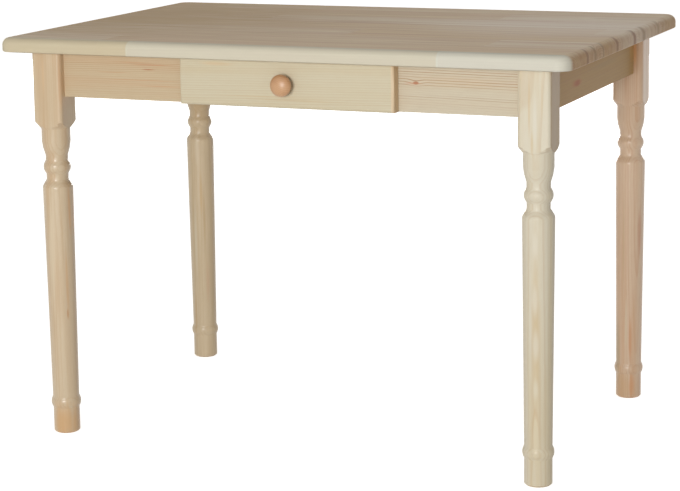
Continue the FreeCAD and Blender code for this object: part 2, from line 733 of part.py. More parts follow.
def make_knob():
    """Turned round knob on a straight neck, bored for its screw from behind."""
    body = new_body("drawer_knob")
    sketch = new_sketch(body, "Turning", "XY_Plane")
    neck, belt = "Sizes.knob_neck_radius", "Sizes.knob_radius"
    draw_path(
        sketch,
        [
            ("0", "0"),
            (neck, "0"),
            (neck, "Sizes.knob_neck_height"),
            (belt, "Sizes.knob_belt_bottom"),
            (belt, "Sizes.knob_belt_top"),
            ("Sizes.knob_brow_radius", "Sizes.knob_brow_height"),
            ("0", "Sizes.knob_height"),
        ],
    )
    spin(body, sketch, "Revolution")
    socket = new_sketch(body, "Socket", "XZ_Plane")
    draw_circles(socket, "(Sizes.knob_screw_radius + Sizes.screw_clearance)", [("0", "0")])
    pocket(body, socket, "(Sizes.knob_screw_depth + Sizes.screw_clearance)")
    place(body, "Sizes.drawer_offset", FRONT_FACE, KNOB_HEIGHT, turn=180)


def flat_head_screw(label, shank_radius, shank_length, head_radius, head_height):
    """A screw along +Z: a round flat head that ends at 0, then the shank."""
    stem = label.title().replace("_", "")
    head = rod(f"{stem}Head", head_radius, head_height)
    place(head, z=f"(-{head_height})")
    shank = rod(f"{stem}Shank", shank_radius, shank_length)
    whole = doc.addObject("Part::Fuse", stem)
    whole.Base = head
    whole.Tool = shank
    return keep(label, whole)


def make_knob_screw():
    """Screw from inside the drawer, through the front into the knob."""
    screw = flat_head_screw(
        "knob_screw",
        "Sizes.knob_screw_radius",
        "(Sizes.front_thickness + Sizes.knob_screw_depth)",
        "Sizes.knob_screw_head_radius",
        "Sizes.knob_screw_head_height",
    )
    place(screw, "Sizes.drawer_offset", BOX_FRONT, KNOB_HEIGHT, tilt=TO_MINUS_Y)


# ---------------------------------------------------------------- turn button


def make_stop_button():
    """Turn button behind the front apron: hangs down into the drawer's path until turned up."""
    body = new_body("stop_button")
    radius = "(Sizes.button_width / 2)"
    low = f"({radius} - Sizes.button_length)"
    face = new_sketch(body, "Face", "XZ_Plane")
    draw_path(
        face,
        [
            (radius, low),
            (radius, "0", ("0", radius)),
            (f"(-{radius})", "0"),
            (f"(-{radius})", low),
        ],
    )
    pad(body, face, "Sizes.button_thickness", reverse=True)
    bore = new_sketch(body, "Bore", "XZ_Plane")
    bore_radius = "(Sizes.button_screw_radius + Sizes.screw_clearance)"
    draw_circles(bore, bore_radius, [("0", "0")])
    pocket(body, bore, "Sizes.button_thickness")
    start = f"(-{APRON_IN_Y} + Sizes.button_gap)"
    place(body, "Sizes.drawer_offset", start, BUTTON_PIVOT)
    screw = flat_head_screw(
        "stop_screw",
        "Sizes.button_screw_radius",
        "(Sizes.button_thickness + 2 * Sizes.button_gap + Sizes.button_screw_depth)",
        "Sizes.button_head_radius",
        "Sizes.button_head_height",
    )
    head = f"({start} + Sizes.button_thickness + Sizes.button_gap)"
    place(screw, "Sizes.drawer_offset", head, BUTTON_PIVOT, tilt=TO_MINUS_Y)


# ---------------------------------------------------------------- build and write


def build():
    """Builds every sub-part in the order in which the table goes together."""
    make_top()
    for corner, (sign_x, sign_y, turn) in CORNERS.items():
        make_leg(corner, sign_x, sign_y, turn)
        make_corner_block(corner, sign_x, sign_y, turn)
    make_aprons()
    make_brackets()
    make_runners()
    make_kickers()
    make_drawer_front()
    make_drawer_sides()
    make_drawer_back()
    make_drawer_bottom()
    make_knob()
    make_knob_screw()
    make_stop_button()


def check():
    """Stops if an object failed to recompute or a sub-part has no valid solid."""
    for item in doc.Objects:
        if {"Invalid", "Error"} & set(item.State):
            raise RuntimeError(f"{item.Label}: {item.State}")
    for label, item in PARTS.items():
        shape = item.Shape
        if shape.isNull() or not shape.isValid() or not shape.Solids:
            raise RuntimeError(f"{label} has no valid solid")


def export():
    """Writes one STEP file for each sub-part."""
    os.makedirs("parts", exist_ok=True)
    for label, item in PARTS.items():
        item.Shape.exportStep(f"parts/{label}.step")
        box = item.Shape.BoundBox
        volume = item.Shape.Volume / 1000
        height = f"z {box.ZMin:.1f} to {box.ZMax:.1f}"
        print(f"{label}: {len(item.Shape.Solids)} solids, {volume:.1f} cm3, {height}")


build()
doc.recompute()
check()
export()
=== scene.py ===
"""Pine kitchen table with four turned legs and a drawer: finishes, pieces, studio and camera."""

import logging
import math
from dataclasses import dataclass, replace
from enum import Enum
from itertools import product

import bmesh
import bpy
from mathutils import Matrix, Vector


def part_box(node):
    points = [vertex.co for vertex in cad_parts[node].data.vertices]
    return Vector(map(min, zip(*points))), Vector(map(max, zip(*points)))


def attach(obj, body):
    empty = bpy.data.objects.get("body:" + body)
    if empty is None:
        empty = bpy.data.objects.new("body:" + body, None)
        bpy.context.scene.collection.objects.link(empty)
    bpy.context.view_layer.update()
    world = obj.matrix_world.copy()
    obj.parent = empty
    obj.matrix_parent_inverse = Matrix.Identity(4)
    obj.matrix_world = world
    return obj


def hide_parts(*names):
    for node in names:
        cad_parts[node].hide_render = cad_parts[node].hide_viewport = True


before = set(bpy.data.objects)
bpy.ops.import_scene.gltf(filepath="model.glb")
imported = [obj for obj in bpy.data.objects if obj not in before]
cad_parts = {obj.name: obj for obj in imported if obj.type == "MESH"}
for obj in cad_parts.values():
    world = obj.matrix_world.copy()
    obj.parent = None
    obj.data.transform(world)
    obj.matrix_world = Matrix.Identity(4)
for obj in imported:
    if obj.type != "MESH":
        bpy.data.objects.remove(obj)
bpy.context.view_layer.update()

log = logging.getLogger("pine_table")

Colour = tuple[int, int, int]
Number = float | int


def linear(colour: Colour, alpha: float = 1.0) -> tuple[float, float, float, float]:
    """Turns a screen colour into the light values that shaders work in.

    Args:
        colour: Red, green and blue from 0 to 255.
        alpha: Fourth value, passed on as it is.

    Returns:
        Four numbers from 0 to 1.
    """
    parts = [channel / 255 for channel in colour]
    curve = [c / 12.92 if c <= 0.04045 else ((c + 0.055) / 1.055) ** 2.4 for c in parts]
    return (*curve, alpha)


# ------------------------------------------------------------------ shader arithmetic


class Wire:
    """The output of a shader node, for use in ordinary arithmetic."""

    def __init__(self, shader: "Shader", socket: bpy.types.NodeSocket) -> None:
        """Wraps one output socket of a shader."""
        self.shader = shader
        self.socket = socket

    def _join(self, operation: str, first: "Wire | Number", second: "Wire | Number") -> "Wire":
        """Adds one Math node, or one Vector Math node where this wire is a vector.

        Args:
            operation: The node's operation.
            first: Left side.
            second: Right side.

        Returns:
            The result's wire.
        """
        kind, sides = "ShaderNodeMath", [first, second]
        if self.socket.type == "VECTOR":
            kind = "ShaderNodeVectorMath"
            sides = [(side,) * 3 if isinstance(side, (int, float)) else side for side in sides]
        return self.shader.node(kind, {"operation": operation}, dict(enumerate(sides)))

    def __add__(self, other: "Wire | Number") -> "Wire":
        """This plus other."""
        return self._join("ADD", self, other)

    def __radd__(self, other: Number) -> "Wire":
        """Other plus this."""
        return self._join("ADD", other, self)

    def __sub__(self, other: "Wire | Number") -> "Wire":
        """This minus other."""
        return self._join("SUBTRACT", self, other)

    def __rsub__(self, other: Number) -> "Wire":
        """Other minus this."""
        return self._join("SUBTRACT", other, self)

    def __mul__(self, other: "Wire | Number") -> "Wire":
        """This times other."""
        return self._join("MULTIPLY", self, other)

    def __rmul__(self, other: Number) -> "Wire":
        """Other times this."""
        return self._join("MULTIPLY", other, self)

    def __truediv__(self, other: "Wire | Number") -> "Wire":
        """This divided by other."""
        return self._join("DIVIDE", self, other)

    def __pow__(self, other: Number) -> "Wire":
        """This to the power of other."""
        return self._join("POWER", self, other)

    def __gt__(self, other: "Wire | Number") -> "Wire":
        """One where this is larger than other, else zero."""
        return self._join("GREATER_THAN", self, other)

    def floor(self) -> "Wire":
        """The whole number below."""
        return self._join("FLOOR", self, 0.0)

    def part(self) -> "Wire":
        """What is left above the whole number below."""
        return self._join("FRACT", self, 0.0)

    def size(self) -> "Wire":
        """The value without its sign."""
        return self._join("ABSOLUTE", self, 0.0)

    def eased(self, low: float, high: float, out_low: float = 0.0, out_high: float = 1.0) -> "Wire":
        """Goes smoothly from one level to another.

        Args:
            low: Input at which the result leaves out_low.
            high: Input at which the result reaches out_high.
            out_low: Result at and below low.
            out_high: Result at and above high.

        Returns:
            The eased value's wire.
        """
        return self.shader.node(
            "ShaderNodeMapRange",
            {"interpolation_type": "SMOOTHSTEP"},
            {"Value": self, 1: low, 2: high, 3: out_low, 4: out_high},
        )


class Shader:
    """One material or world under construction."""

    def __init__(self, owner: bpy.types.Material | bpy.types.World) -> None:
        """Empties the owner's node tree and keeps it."""
        owner.use_nodes = True
        self.owner = owner
        self.tree = owner.node_tree
        self.tree.nodes.clear()

    def node(
        self,
        kind: str,
        settings: dict | None = None,
        sockets: dict | None = None,
        output: int | str = 0,
    ) -> Wire:
        """Adds a node of any type.

        Args:
            kind: Blender's name of the node type.
            settings: The node's own settings, with "stops" for a ramp's (place, colour) pairs.
            sockets: Values or wires for its inputs, by name or number.
            output: The output to return, by name or number.

        Returns:
            The wire of that output.
        """
        made = self.tree.nodes.new(kind)
        for key, setting in (settings or {}).items():
            if key == "stops":
                self._fill_ramp(made.color_ramp, setting)
            elif key == "steps":
                made.color_ramp.interpolation = setting
            else:
                setattr(made, key, setting)
        for key, given in (sockets or {}).items():
            if isinstance(given, Wire):
                self.tree.links.new(given.socket, made.inputs[key])
            else:
                made.inputs[key].default_value = given
        return Wire(self, made.outputs[output]) if made.outputs else Wire(self, None)

    @staticmethod
    def _fill_ramp(ramp: bpy.types.ColorRamp, stops: list[tuple[float, tuple]]) -> None:
        """Gives a colour ramp its stops.

        Args:
            ramp: The ramp.
            stops: Pairs of place and four-part colour, in rising order.
        """
        while len(ramp.elements) > 1:
            ramp.elements.remove(ramp.elements[-1])
        ramp.elements[0].position, ramp.elements[0].color = stops[0]
        for place, colour in stops[1:]:
            ramp.elements.new(place).color = colour

    def mix(
        self,
        amount: Wire | Number,
        first: Wire | tuple,
        second: Wire | tuple,
        blend: str = "MIX",
    ) -> Wire:
        """Blends two colours.

        Args:
            amount: Share of the second colour.
            first: Colour at amount 0.
            second: Colour at amount 1.
            blend: How the second colour is laid over the first.

        Returns:
            The blended colour's wire.
        """
        settings = {"data_type": "RGBA", "blend_type": blend}
        return self.node("ShaderNodeMix", settings, {0: amount, 6: first, 7: second}, output=2)

    def tinted(self, amount: Wire | Number, colour: Wire, tint: tuple) -> Wire:
        """Multiplies a colour by a tint, as far as amount says."""
        return self.mix(amount, colour, tint, "MULTIPLY")

    def place(self) -> Wire:
        """The place on the table, in metres."""
        return self.node("ShaderNodeTexCoord", output="Object")

    def normal(self) -> Wire:
        """The direction that the surface looks."""
        return self.node("ShaderNodeTexCoord", output="Normal")

    def vector(self, x: Wire | Number, y: Wire | Number, z: Wire | Number) -> Wire:
        """Puts three numbers together as a vector."""
        return self.node("ShaderNodeCombineXYZ", None, {0: x, 1: y, 2: z})

    def parts(self, vector: Wire) -> list[Wire]:
        """Takes a vector or colour apart into its three numbers."""
        colour = vector.socket.type == "RGBA"
        kind = "ShaderNodeSeparateColor" if colour else "ShaderNodeSeparateXYZ"
        outputs = self.node(kind, None, {0: vector}).socket.node.outputs
        return [Wire(self, output) for output in outputs[:3]]

    def noise(self, place: Wire, detail: float = 2.0, roughness: float = 0.5) -> Wire:
        """Soft noise around 0.5.

        Args:
            place: Where to read the noise, already scaled.
            detail: How many finer layers it has.
            roughness: How strong those layers are.

        Returns:
            The noise value's wire.
        """
        sockets = {"Vector": place, "Scale": 1.0, "Detail": detail, "Roughness": roughness}
        return self.node("ShaderNodeTexNoise", None, sockets)

    def chance(self, number: Wire) -> Wire:
        """A fixed random value from 0 to 1 for each whole number."""
        return self.node("ShaderNodeTexWhiteNoise", {"noise_dimensions": "1D"}, {"W": number})

    def finish(
        self, sockets: dict, height: Wire | None = None, relief: float = 0.0001, depth: float = 1.0
    ) -> None:
        """Adds the surface shader and the output.

        Args:
            sockets: Values or wires of the surface shader.
            height: Relief from 0 to 1, if there is one.
            relief: What a height of 1 is in metres.
            depth: Strength of the relief.
        """
        if height is not None:
            bump = {"Strength": depth, "Distance": relief, "Height": height}
            sockets = sockets | {"Normal": self.node("ShaderNodeBump", None, bump)}
        surface = self.node("ShaderNodeBsdfPrincipled", None, sockets)
        self.node("ShaderNodeOutputMaterial", None, {"Surface": surface})


# ------------------------------------------------------------------ finishes

# How often noise changes in a metre along the grain and in a metre across it.
DRIFT = (1.6, 14.0)
RIPPLE = (9.0, 60.0)
STREAKS = (2.2, 55.0)
FIBRES = (45.0, 2200.0)
FRAY = (7.0, 160.0)

# Shares of a ring at which its late wood is darkest and at which it ends.
LATE_FULL = 0.88
LATE_END = 0.92

KNOT_HEART = (158, 98, 62)
END_GRAIN = (214, 190, 160)
GLUE_LINE = (196, 164, 128)


class Axis(Enum):
    """The three directions of the table: along it, across it and up."""

    LENGTH = 0
    WIDTH = 1
    HEIGHT = 2


@dataclass(frozen=True)
class Spot:
    """A place in the wood: along the grain, across it and in depth, and the end grain's share."""

    along: Wire
    across: Wire
    depth: Wire
    ends: Wire

    def noise(self, waves: tuple[float, float], shift: float, *layers: float) -> Wire:
        """Soft noise around 0.5, stretched along the grain.

        Args:
            waves: Changes in a metre along the grain and in a metre across it.
            shift: Shifts the noise along the grain.
            layers: Number of finer layers and their strength.

        Returns:
            The noise value's wire.
        """
        run, rise = waves
        shader = self.along.shader
        place = shader.vector(self.along * run + shift, self.across * rise, self.depth * rise)
        return shader.noise(place, *layers)


@dataclass(frozen=True)
class Knot:
    """A knot that goes through a board.

    Attributes:
        along: Place along the grain, in metres.
        across: Place across the grain, in metres.
        radius: Radius of its dark heart, in metres.
        strength: How dark it is, from 0 to 1.
    """

    along: float
    across: float
    radius: float
    strength: float

    def distance(self, spot: Spot) -> Wire:
        """From 0 in the knot's middle to 1 where its pull ends, longer along the grain."""
        reach = 5.0 * self.radius
        run = (spot.along - self.along) / (1.9 * reach)
        rise = (spot.across - self.across) / reach
        return (run * run + rise * rise) ** 0.5


@dataclass(frozen=True)
class Patch:
    """A stretch of another colour: some are wood of another tone, some painted shade, highlights or
    sheen.

    Attributes:
        along: Its middle along the grain, in metres.
        across: Its middle across the grain, in metres.
        length: Half its length, in metres.
        width: Half its width, in metres.
        colour: Its colour.
        strength: Share of that colour in its middle.
        fade: Share of its width over which it fades out.
        tip: Share of its length over which a straight-sided patch fades out, 0 for an oval.
    """

    along: float
    across: float
    length: float
    width: float
    colour: Colour
    strength: float
    fade: float = 0.8
    tip: float = 0.0

    def share(self, spot: Spot, fray: Wire) -> Wire:
        """Share of the patch's colour, frayed along the fibres by streaks around 0.5."""
        run = ((spot.along - self.along) / self.length).size()
        rise = ((spot.across - self.across) / self.width).size()
        if self.tip:
            within = run.eased(1 - self.tip, 1.0, self.strength, 0.0)
            return within * rise.eased(1 - self.fade, 1.0, 1.0, 0.0)
        far = (run * run + rise * rise) ** 0.5 + (fray - 0.5) * self.fade
        return far.eased(1 - self.fade, 1.0, self.strength, 0.0)


@dataclass(frozen=True)
class Band:
    """A stretch across the grain where the late wood's lines stand out.

    Attributes:
        across: Its middle across the grain, in metres.
        reach: Half its width, in metres.
        strength: Contrast that it adds to the lines.
    """

    across: float
    reach: float
    strength: float

    def share(self, spot: Spot) -> Wire:
        """The contrast that it adds."""
        far = ((spot.across - self.across) / self.reach).size()
        return far.eased(0.55, 1.15, self.strength, 0.0)


@dataclass(frozen=True)
class Surface:
    """What a wood's growth gives to its shader: colour, relief and the share of dark wood."""

    colour: Wire
    height: Wire
    dark: Wire


@dataclass(frozen=True)
class Tones:
    """Colours of the wide early wood, of the narrow late wood and of long soft streaks."""

    pale: Colour
    line: Colour
    streak: Colour


@dataclass(frozen=True)
class Growth:
    """How the rings lie in a piece.

    Attributes:
        ring: Distance between rings, in metres.
        contrast: Strength of the late wood's lines.
        heart: Place of the heart line across the grain and in depth, in metres, if it has but one.
        lean: How far the heart line moves across and in depth for each metre of length.
        late: Share of a ring at which its late wood begins.
        wander: How far the rings wander, in metres.
        streaks: Strength of the long streaks.
    """

    ring: float
    contrast: float
    heart: tuple[float, float] = (0.0, 0.0)
    lean: tuple[float, float] = (0.0, 0.0)
    late: float = 0.35
    wander: float = 0.003
    streaks: float = 0.4


@dataclass(frozen=True)
class Seal:
    """A sealed surface.

    Attributes:
        rough: Its roughness.
        shine: Strength of its mirror.
        lacquer: Share of a glossier coat.
        coat_rough: Roughness of that coat.
        gleam: How much smoother the late wood is.
    """

    rough: float = 0.5
    shine: float = 0.3
    lacquer: float = 0.0
    coat_rough: float = 0.22
    gleam: float = 0.08


@dataclass(frozen=True)
class Finish:
    """A finish, which becomes one material of its name."""

    name: str

    def material(self) -> bpy.types.Material:
        """Builds the material."""
        shader = Shader(bpy.data.materials.new(self.name))
        self.build(shader)
        return shader.owner

    def build(self, shader: Shader) -> None:
        """Adds the nodes, which differ from finish to finish."""
        raise NotImplementedError


@dataclass(frozen=True)
class Pine(Finish):
    """Planed and sealed pine, grown in rings round a heart line.

    Attributes:
        tones: Its colours.
        growth: How its rings lie.
        seed: Shifts the noise, so that no two pieces match.
        grain: Direction of the fibres.
        face: Direction that the broad face looks.
        seal: Its surface.
        knots: Its knots.
        bands: Stretches with stronger lines.
        patches: Stretches of another colour.
        turn: Turn of the piece about the vertical, in degrees.
    """

    tones: Tones
    growth: Growth
    seed: float
    grain: Axis = Axis.LENGTH
    face: Axis = Axis.WIDTH
    seal: Seal = Seal()
    knots: tuple[Knot, ...] = ()
    bands: tuple[Band, ...] = ()
    patches: tuple[Patch, ...] = ()
    turn: float = 0.0

    def build(self, shader: Shader) -> None:
        """Grows the wood and seals it."""
        self.cover(shader, self.grow(shader))

    def cover(self, shader: Shader, grown: Surface) -> None:
        """Adds the sealed surface over the grown wood."""
        seal = self.seal
        sockets = {
            "Base Color": grown.colour,
            "Roughness": seal.rough - seal.gleam * grown.dark,
            "Specular IOR Level": seal.shine,
            "Coat Weight": seal.lacquer,
            "Coat Roughness": seal.coat_rough,
        }
        shader.finish(sockets, grown.height, relief=0.00012, depth=0.6)

    def spot(self, shader: Shader) -> Spot:
        """Reads the place in the wood's own directions."""
        wires = [shader.place(), shader.normal()]
        if self.turn:
            kind, settings = "ShaderNodeVectorRotate", {"rotation_type": "Z_AXIS"}
            angle = math.radians(self.turn)
            wires = [
                shader.node(kind, settings, {"Vector": wire, "Angle": angle}) for wire in wires
            ]
        place, normal = (shader.parts(wire) for wire in wires)
        side = ({0, 1, 2} - {self.grain.value, self.face.value}).pop()
        ends = normal[self.grain.value].size().eased(0.45, 0.95)
        return Spot(place[self.grain.value], place[side], place[self.face.value], ends)

    def grow(self, shader: Shader) -> Surface:
        """Grows the wood round one heart line."""
        spot, growth = self.spot(shader), self.growth
        heart = [start + lean * spot.along for start, lean in zip(growth.heart, growth.lean)]
        return self.patched(spot, self.ringed(spot, heart, linear(self.tones.pale)))

    def patched(self, spot: Spot, grown: Surface) -> Surface:
        """Lays the patches of other colour over the wood.

        Args:
            spot: The place in the wood.
            grown: The wood.

        Returns:
            The wood with its patches.
        """
        if not self.patches:
            return grown
        shader, colour, (run, rise) = spot.along.shader, grown.colour, FRAY
        place = shader.vector(spot.along * run + self.seed, spot.across * rise, 0.0)
        fray = shader.noise(place)
        for patch in self.patches:
            colour = shader.mix(patch.share(spot, fray), colour, linear(patch.colour))
        return replace(grown, colour=colour)

    def ringed(self, spot: Spot, heart: list[Wire], pale: Wire | tuple) -> Surface:
        """Draws rings, fibres, streaks and knots around a heart line.

        Args:
            spot: The place in the wood.
            heart: Place of the heart line, across and in depth.
            pale: Colour of the early wood.

        Returns:
            The wood's colour, relief and dark share.
        """
        shader, growth = spot.along.shader, self.growth
        off_across, off_depth = spot.across - heart[0], spot.depth - heart[1]
        radius = (off_across * off_across + off_depth * off_depth) ** 0.5
        radius = radius + (spot.noise(DRIFT, self.seed, 1.0) - 0.5) * (2 * growth.wander)
        radius = radius + (spot.noise(RIPPLE, -self.seed, 1.0) - 0.5) * (0.35 * growth.wander)
        knots = [(knot, knot.distance(spot)) for knot in self.knots]
        for knot, far in knots:
            radius = radius + far.eased(0.0, 1.0, 1.3 * knot.radius, 0.0)
        count = radius / growth.ring
        count = count + shader.noise(shader.vector(count * 0.31, self.seed, 0.0), 1.0) * 1.2
        within = count.part()
        late = within.eased(growth.late, LATE_FULL) * within.eased(LATE_END, 1.0, 1.0, 0.0)
        late = late * (0.45 + 0.55 * shader.chance(count.floor() + self.seed))
        contrast = late * growth.contrast
        for band in self.bands:
            contrast = contrast + late * band.share(spot)
        fibre = spot.noise(FIBRES, 0.0, 2.0, 0.6)
        streak = spot.noise(STREAKS, -self.seed, 3.0, 0.55).eased(0.35, 0.75)
        line = linear(self.tones.line)
        colour = shader.mix(streak * growth.streaks, pale, linear(self.tones.streak))
        colour = shader.mix(contrast, colour, line)
        colour = shader.mix(fibre.eased(0.3, 0.75, 0.0, 0.16), colour, line)
        for knot, far in knots:
            dark = far.eased(0.14, 0.3, knot.strength, 0.0)
            colour = shader.mix(dark, colour, linear(KNOT_HEART))
        colour = shader.tinted(spot.ends * 0.75, colour, linear(END_GRAIN))
        return Surface(colour, late * 0.6 + fibre * 0.4, late)


@dataclass(frozen=True)
class Stave:
    """One of the staves that the top is glued from.

    Attributes:
        heart: Sideways place of its heart, as a share of its width from 0 to 1.
        below: Depth of its heart, as a share of the panel's deepest.
        tone: Share of the warmer of the panel's two colours.
        joint: Place of its lengthwise joint, as a share of the top's length.
    """

    heart: float
    below: float
    tone: float
    joint: float


@dataclass(frozen=True)
class StavedPine(Pine):
    """Pine glued up from staves, each with its own heart and colour.

    Attributes:
        warm: Colour of the warmer staves.
        staves: The staves from front to back.
        panel: Length and width of the panel, in metres.
        top: Height from which the hearts are measured down, in metres.
        deepest: Depth of the deepest heart, in metres.
        apart: Shift of the figure from stave to stave, in metres.
        beyond: Change of heart, tone, depth and figure beyond a stave's lengthwise joint.
        seam: Width of a glued joint, as a share of a stave's width.
    """

    warm: Colour = (220, 196, 158)
    staves: tuple[Stave, ...] = ()
    panel: tuple[float, float] = (1.1, 0.75)
    top: float = 0.76
    deepest: float = 0.1
    apart: float = 3.7
    beyond: tuple[float, float, float, float] = (0.43, 0.55, 0.02, 1.9)
    seam: float = 0.008

    def grow(self, shader: Shader) -> Surface:
        """Grows each stave's wood, with another heart and tone beyond its lengthwise joint."""
        spot, count = self.spot(shader), len(self.staves)
        length, width = self.panel
        row = (spot.across + width / 2) / width
        stops = [
            (index / count, (stave.heart, stave.below, stave.tone, stave.joint))
            for index, stave in enumerate(self.staves)
        ]
        settings = {"steps": "CONSTANT", "stops": stops}
        facts = shader.node("ShaderNodeValToRGB", settings, {0: row})
        heart, below, tone = shader.parts(facts)
        joint = Wire(shader, facts.socket.node.outputs["Alpha"])
        second = (spot.along + length / 2) / length > joint
        number = (row * count).floor()
        new_heart, new_tone, drop, jump = self.beyond
        heart = (heart + second * new_heart).part()
        tone = (tone + second * new_tone).part()
        middle = (number + heart) * (width / count) - width / 2
        rise = self.growth.lean[1] * spot.along
        level = self.top - self.deepest * below - drop * second + rise
        shifted = replace(spot, along=spot.along + number * self.apart + second * jump)
        pale = shader.mix(tone, linear(self.tones.pale), linear(self.warm))
        grown = self.ringed(shifted, [middle, level], pale)
        across = (row * count).part()
        glued = across.eased(0.0, self.seam, 1.0, 0.0) + across.eased(1 - self.seam, 1.0)
        colour = shader.tinted(glued * 0.5, grown.colour, linear(GLUE_LINE))
        return self.patched(spot, replace(grown, colour=colour))


@dataclass(frozen=True)
class JoinedPine(Finish):
    """Two looks of pine along one board, the second beyond a place along it."""

    first: Pine
    second: Pine
    where: float = 0.0

    def build(self, shader: Shader) -> None:
        """Grows both looks and seals them alike."""
        left, right = self.first.grow(shader), self.second.grow(shader)
        side = shader.parts(shader.place())[self.first.grain.value] > self.where
        keep = 1 - side
        grown = Surface(
            shader.mix(side, left.colour, right.colour),
            left.height * keep + right.height * side,
            left.dark * keep + right.dark * side,
        )
        self.first.cover(shader, grown)


@dataclass(frozen=True)
class Plywood(Finish):
    """Thin plywood with soft wide figure on its faces and plies on its edges."""

    face: Colour = (214, 194, 160)
    figure: Colour = (196, 168, 128)
    core: Colour = (170, 134, 96)
    ply: float = 0.00133

    def build(self, shader: Shader) -> None:
        """Draws the figure, the fibres and the plies."""
        x, y, z = shader.parts(shader.place())
        upward = shader.parts(shader.normal())[2].size()
        figure = linear(self.figure)
        wave = shader.noise(shader.vector(x * 3.0, y * 22.0, 0.5), 3.0, 0.6)
        rings = (wave * 9.0).part().eased(0.2, 0.95)
        fibre = shader.noise(shader.vector(x * 60.0, y * 1800.0, 0.0))
        colour = shader.mix(rings * 0.4, linear(self.face), figure)
        colour = shader.mix(fibre.eased(0.35, 0.7, 0.0, 0.2), colour, figure)
        plies = ((z / (2 * self.ply)).part() > 0.5) * upward.eased(0.4, 0.6, 1.0, 0.0)
        colour = shader.mix(plies * 0.7, colour, linear(self.core))
        sockets = {"Base Color": colour, "Roughness": 0.6, "Specular IOR Level": 0.25}
        shader.finish(sockets, fibre, relief=0.00008, depth=0.5)


@dataclass(frozen=True)
class Beech(Finish):
    """Plain upright beech with short fine flecks."""

    body: Colour = (206, 172, 132)
    fleck: Colour = (170, 124, 84)

    def build(self, shader: Shader) -> None:
        """Draws the flecks and broad soft clouds."""
        x, y, z = shader.parts(shader.place())
        fleck = linear(self.fleck)
        flecks = shader.noise(shader.vector(x * 1500.0, y * 1500.0, z * 180.0), 1.0)
        flecks = flecks.eased(0.58, 0.72)
        broad = shader.noise(shader.vector(x * 60.0, y * 60.0, z * 60.0))
        colour = shader.mix(flecks * 0.5, linear(self.body), fleck)
        colour = shader.mix(broad.eased(0.3, 0.8, 0.0, 0.3), colour, fleck)
        sockets = {"Base Color": colour, "Roughness": 0.5, "Specular IOR Level": 0.3}
        shader.finish(sockets, flecks, relief=0.00005, depth=0.4)


@dataclass(frozen=True)
class KnobWood(Finish):
    """Warm lacquered wood of the turned knob, its rings crossing the face."""

    body: Colour = (196, 155, 115)
    line: Colour = (174, 116, 74)
    heart: tuple[float, float] = (0.030, 0.668)
    ring: float = 0.0032

    def build(self, shader: Shader) -> None:
        """Draws the rings, soft clouds and fibres."""
        x, y, z = shader.parts(shader.place())
        line = linear(self.line)
        off_x, off_z = x - self.heart[0], z - self.heart[1]
        radius = (off_x * off_x + off_z * off_z) ** 0.5
        drift = shader.noise(shader.vector(x * 40.0, y * 20.0, z * 40.0))
        within = ((radius + drift * 0.003) / self.ring).part()
        late = within.eased(0.3, 0.85) * within.eased(0.9, 1.0, 1.0, 0.0)
        fibre = shader.noise(shader.vector(x * 1500.0, y * 90.0, z * 1500.0))
        colour = shader.mix(late * 0.4, linear(self.body), line)
        colour = shader.mix(drift.eased(0.35, 0.75, 0.0, 0.35), colour, line)
        colour = shader.mix(fibre.eased(0.4, 0.7, 0.0, 0.15), colour, line)
        sockets = {
            "Base Color": colour,
            "Roughness": 0.42 - 0.05 * late,
            "Specular IOR Level": 0.5,
            "Coat Weight": 0.35,
            "Coat Roughness": 0.42,
        }
        shader.finish(sockets, late * 0.5 + fibre * 0.5, relief=0.00005, depth=0.5)


@dataclass(frozen=True)
class ZincSteel(Finish):
    """Bright zinc on steel, a little mottled."""

    bright: Colour = (206, 208, 210)
    dull: Colour = (158, 162, 168)

    def build(self, shader: Shader) -> None:
        """Draws fine mottles and broad clouds."""
        x, y, z = shader.parts(shader.place())
        mottle = shader.noise(shader.vector(x * 400.0, y * 400.0, z * 400.0), 3.0, 0.6)
        cloud = shader.noise(shader.vector(x * 90.0, y * 90.0, z * 90.0))
        colour = shader.mix(cloud.eased(0.3, 0.7), linear(self.bright), linear(self.dull))
        sockets = {"Base Color": colour, "Metallic": 1.0, "Roughness": 0.3 + 0.18 * mottle}
        shader.finish(sockets, mottle, relief=0.00004, depth=0.4)


# ------------------------------------------------------------------ making and placing pieces

# Edges that bend more than this many degrees stay crisp, unless a piece says otherwise.
CRISP = 32.0
# Points closer than this are one, and heights closer than this are level, in metres.
NEAR = 0.00001
# Faces that bend less than this many degrees are one flat face.
FLAT = 0.4


def add_object(name: str, mesh: bpy.types.Mesh) -> bpy.types.Object:
    """Puts a mesh into the scene as an object at the origin."""
    piece = bpy.data.objects.new(name, mesh)
    bpy.context.scene.collection.objects.link(piece)
    return piece


@dataclass(frozen=True)
class Rounding:
    """How the lathe's corners round a turned piece are eased.

    Attributes:
        above: Only corners above this height, in metres.
        below: Only corners below this height, in metres.
        width: Width of the easing, in metres.
        steps: Number of facets across it.
        least: Corners that bend less than this many degrees stay as they are.
        most: So do those that bend more.
    """

    above: float
    below: float
    width: float = 0.0034
    steps: int = 4
    least: float = 9.0
    most: float = 50.0

    def ease(self, shape: bmesh.types.BMesh) -> None:
        """Eases the level, outward corners of a shape."""
        corners = []
        for edge in shape.edges:
            first, second = (vert.co for vert in edge.verts)
            level = abs(first.z - second.z) < NEAR and self.above < first.z < self.below
            if level and edge.is_manifold and edge.is_convex:
                bend = math.degrees(edge.calc_face_angle())
                if self.least < bend < self.most:
                    corners.append(edge)
        bmesh.ops.bevel(
            shape,
            geom=corners,
            offset=self.width,
            offset_type="OFFSET",
            segments=self.steps,
            profile=0.5,
            affect="EDGES",
            clamp_overlap=True,
            material=-1,
        )


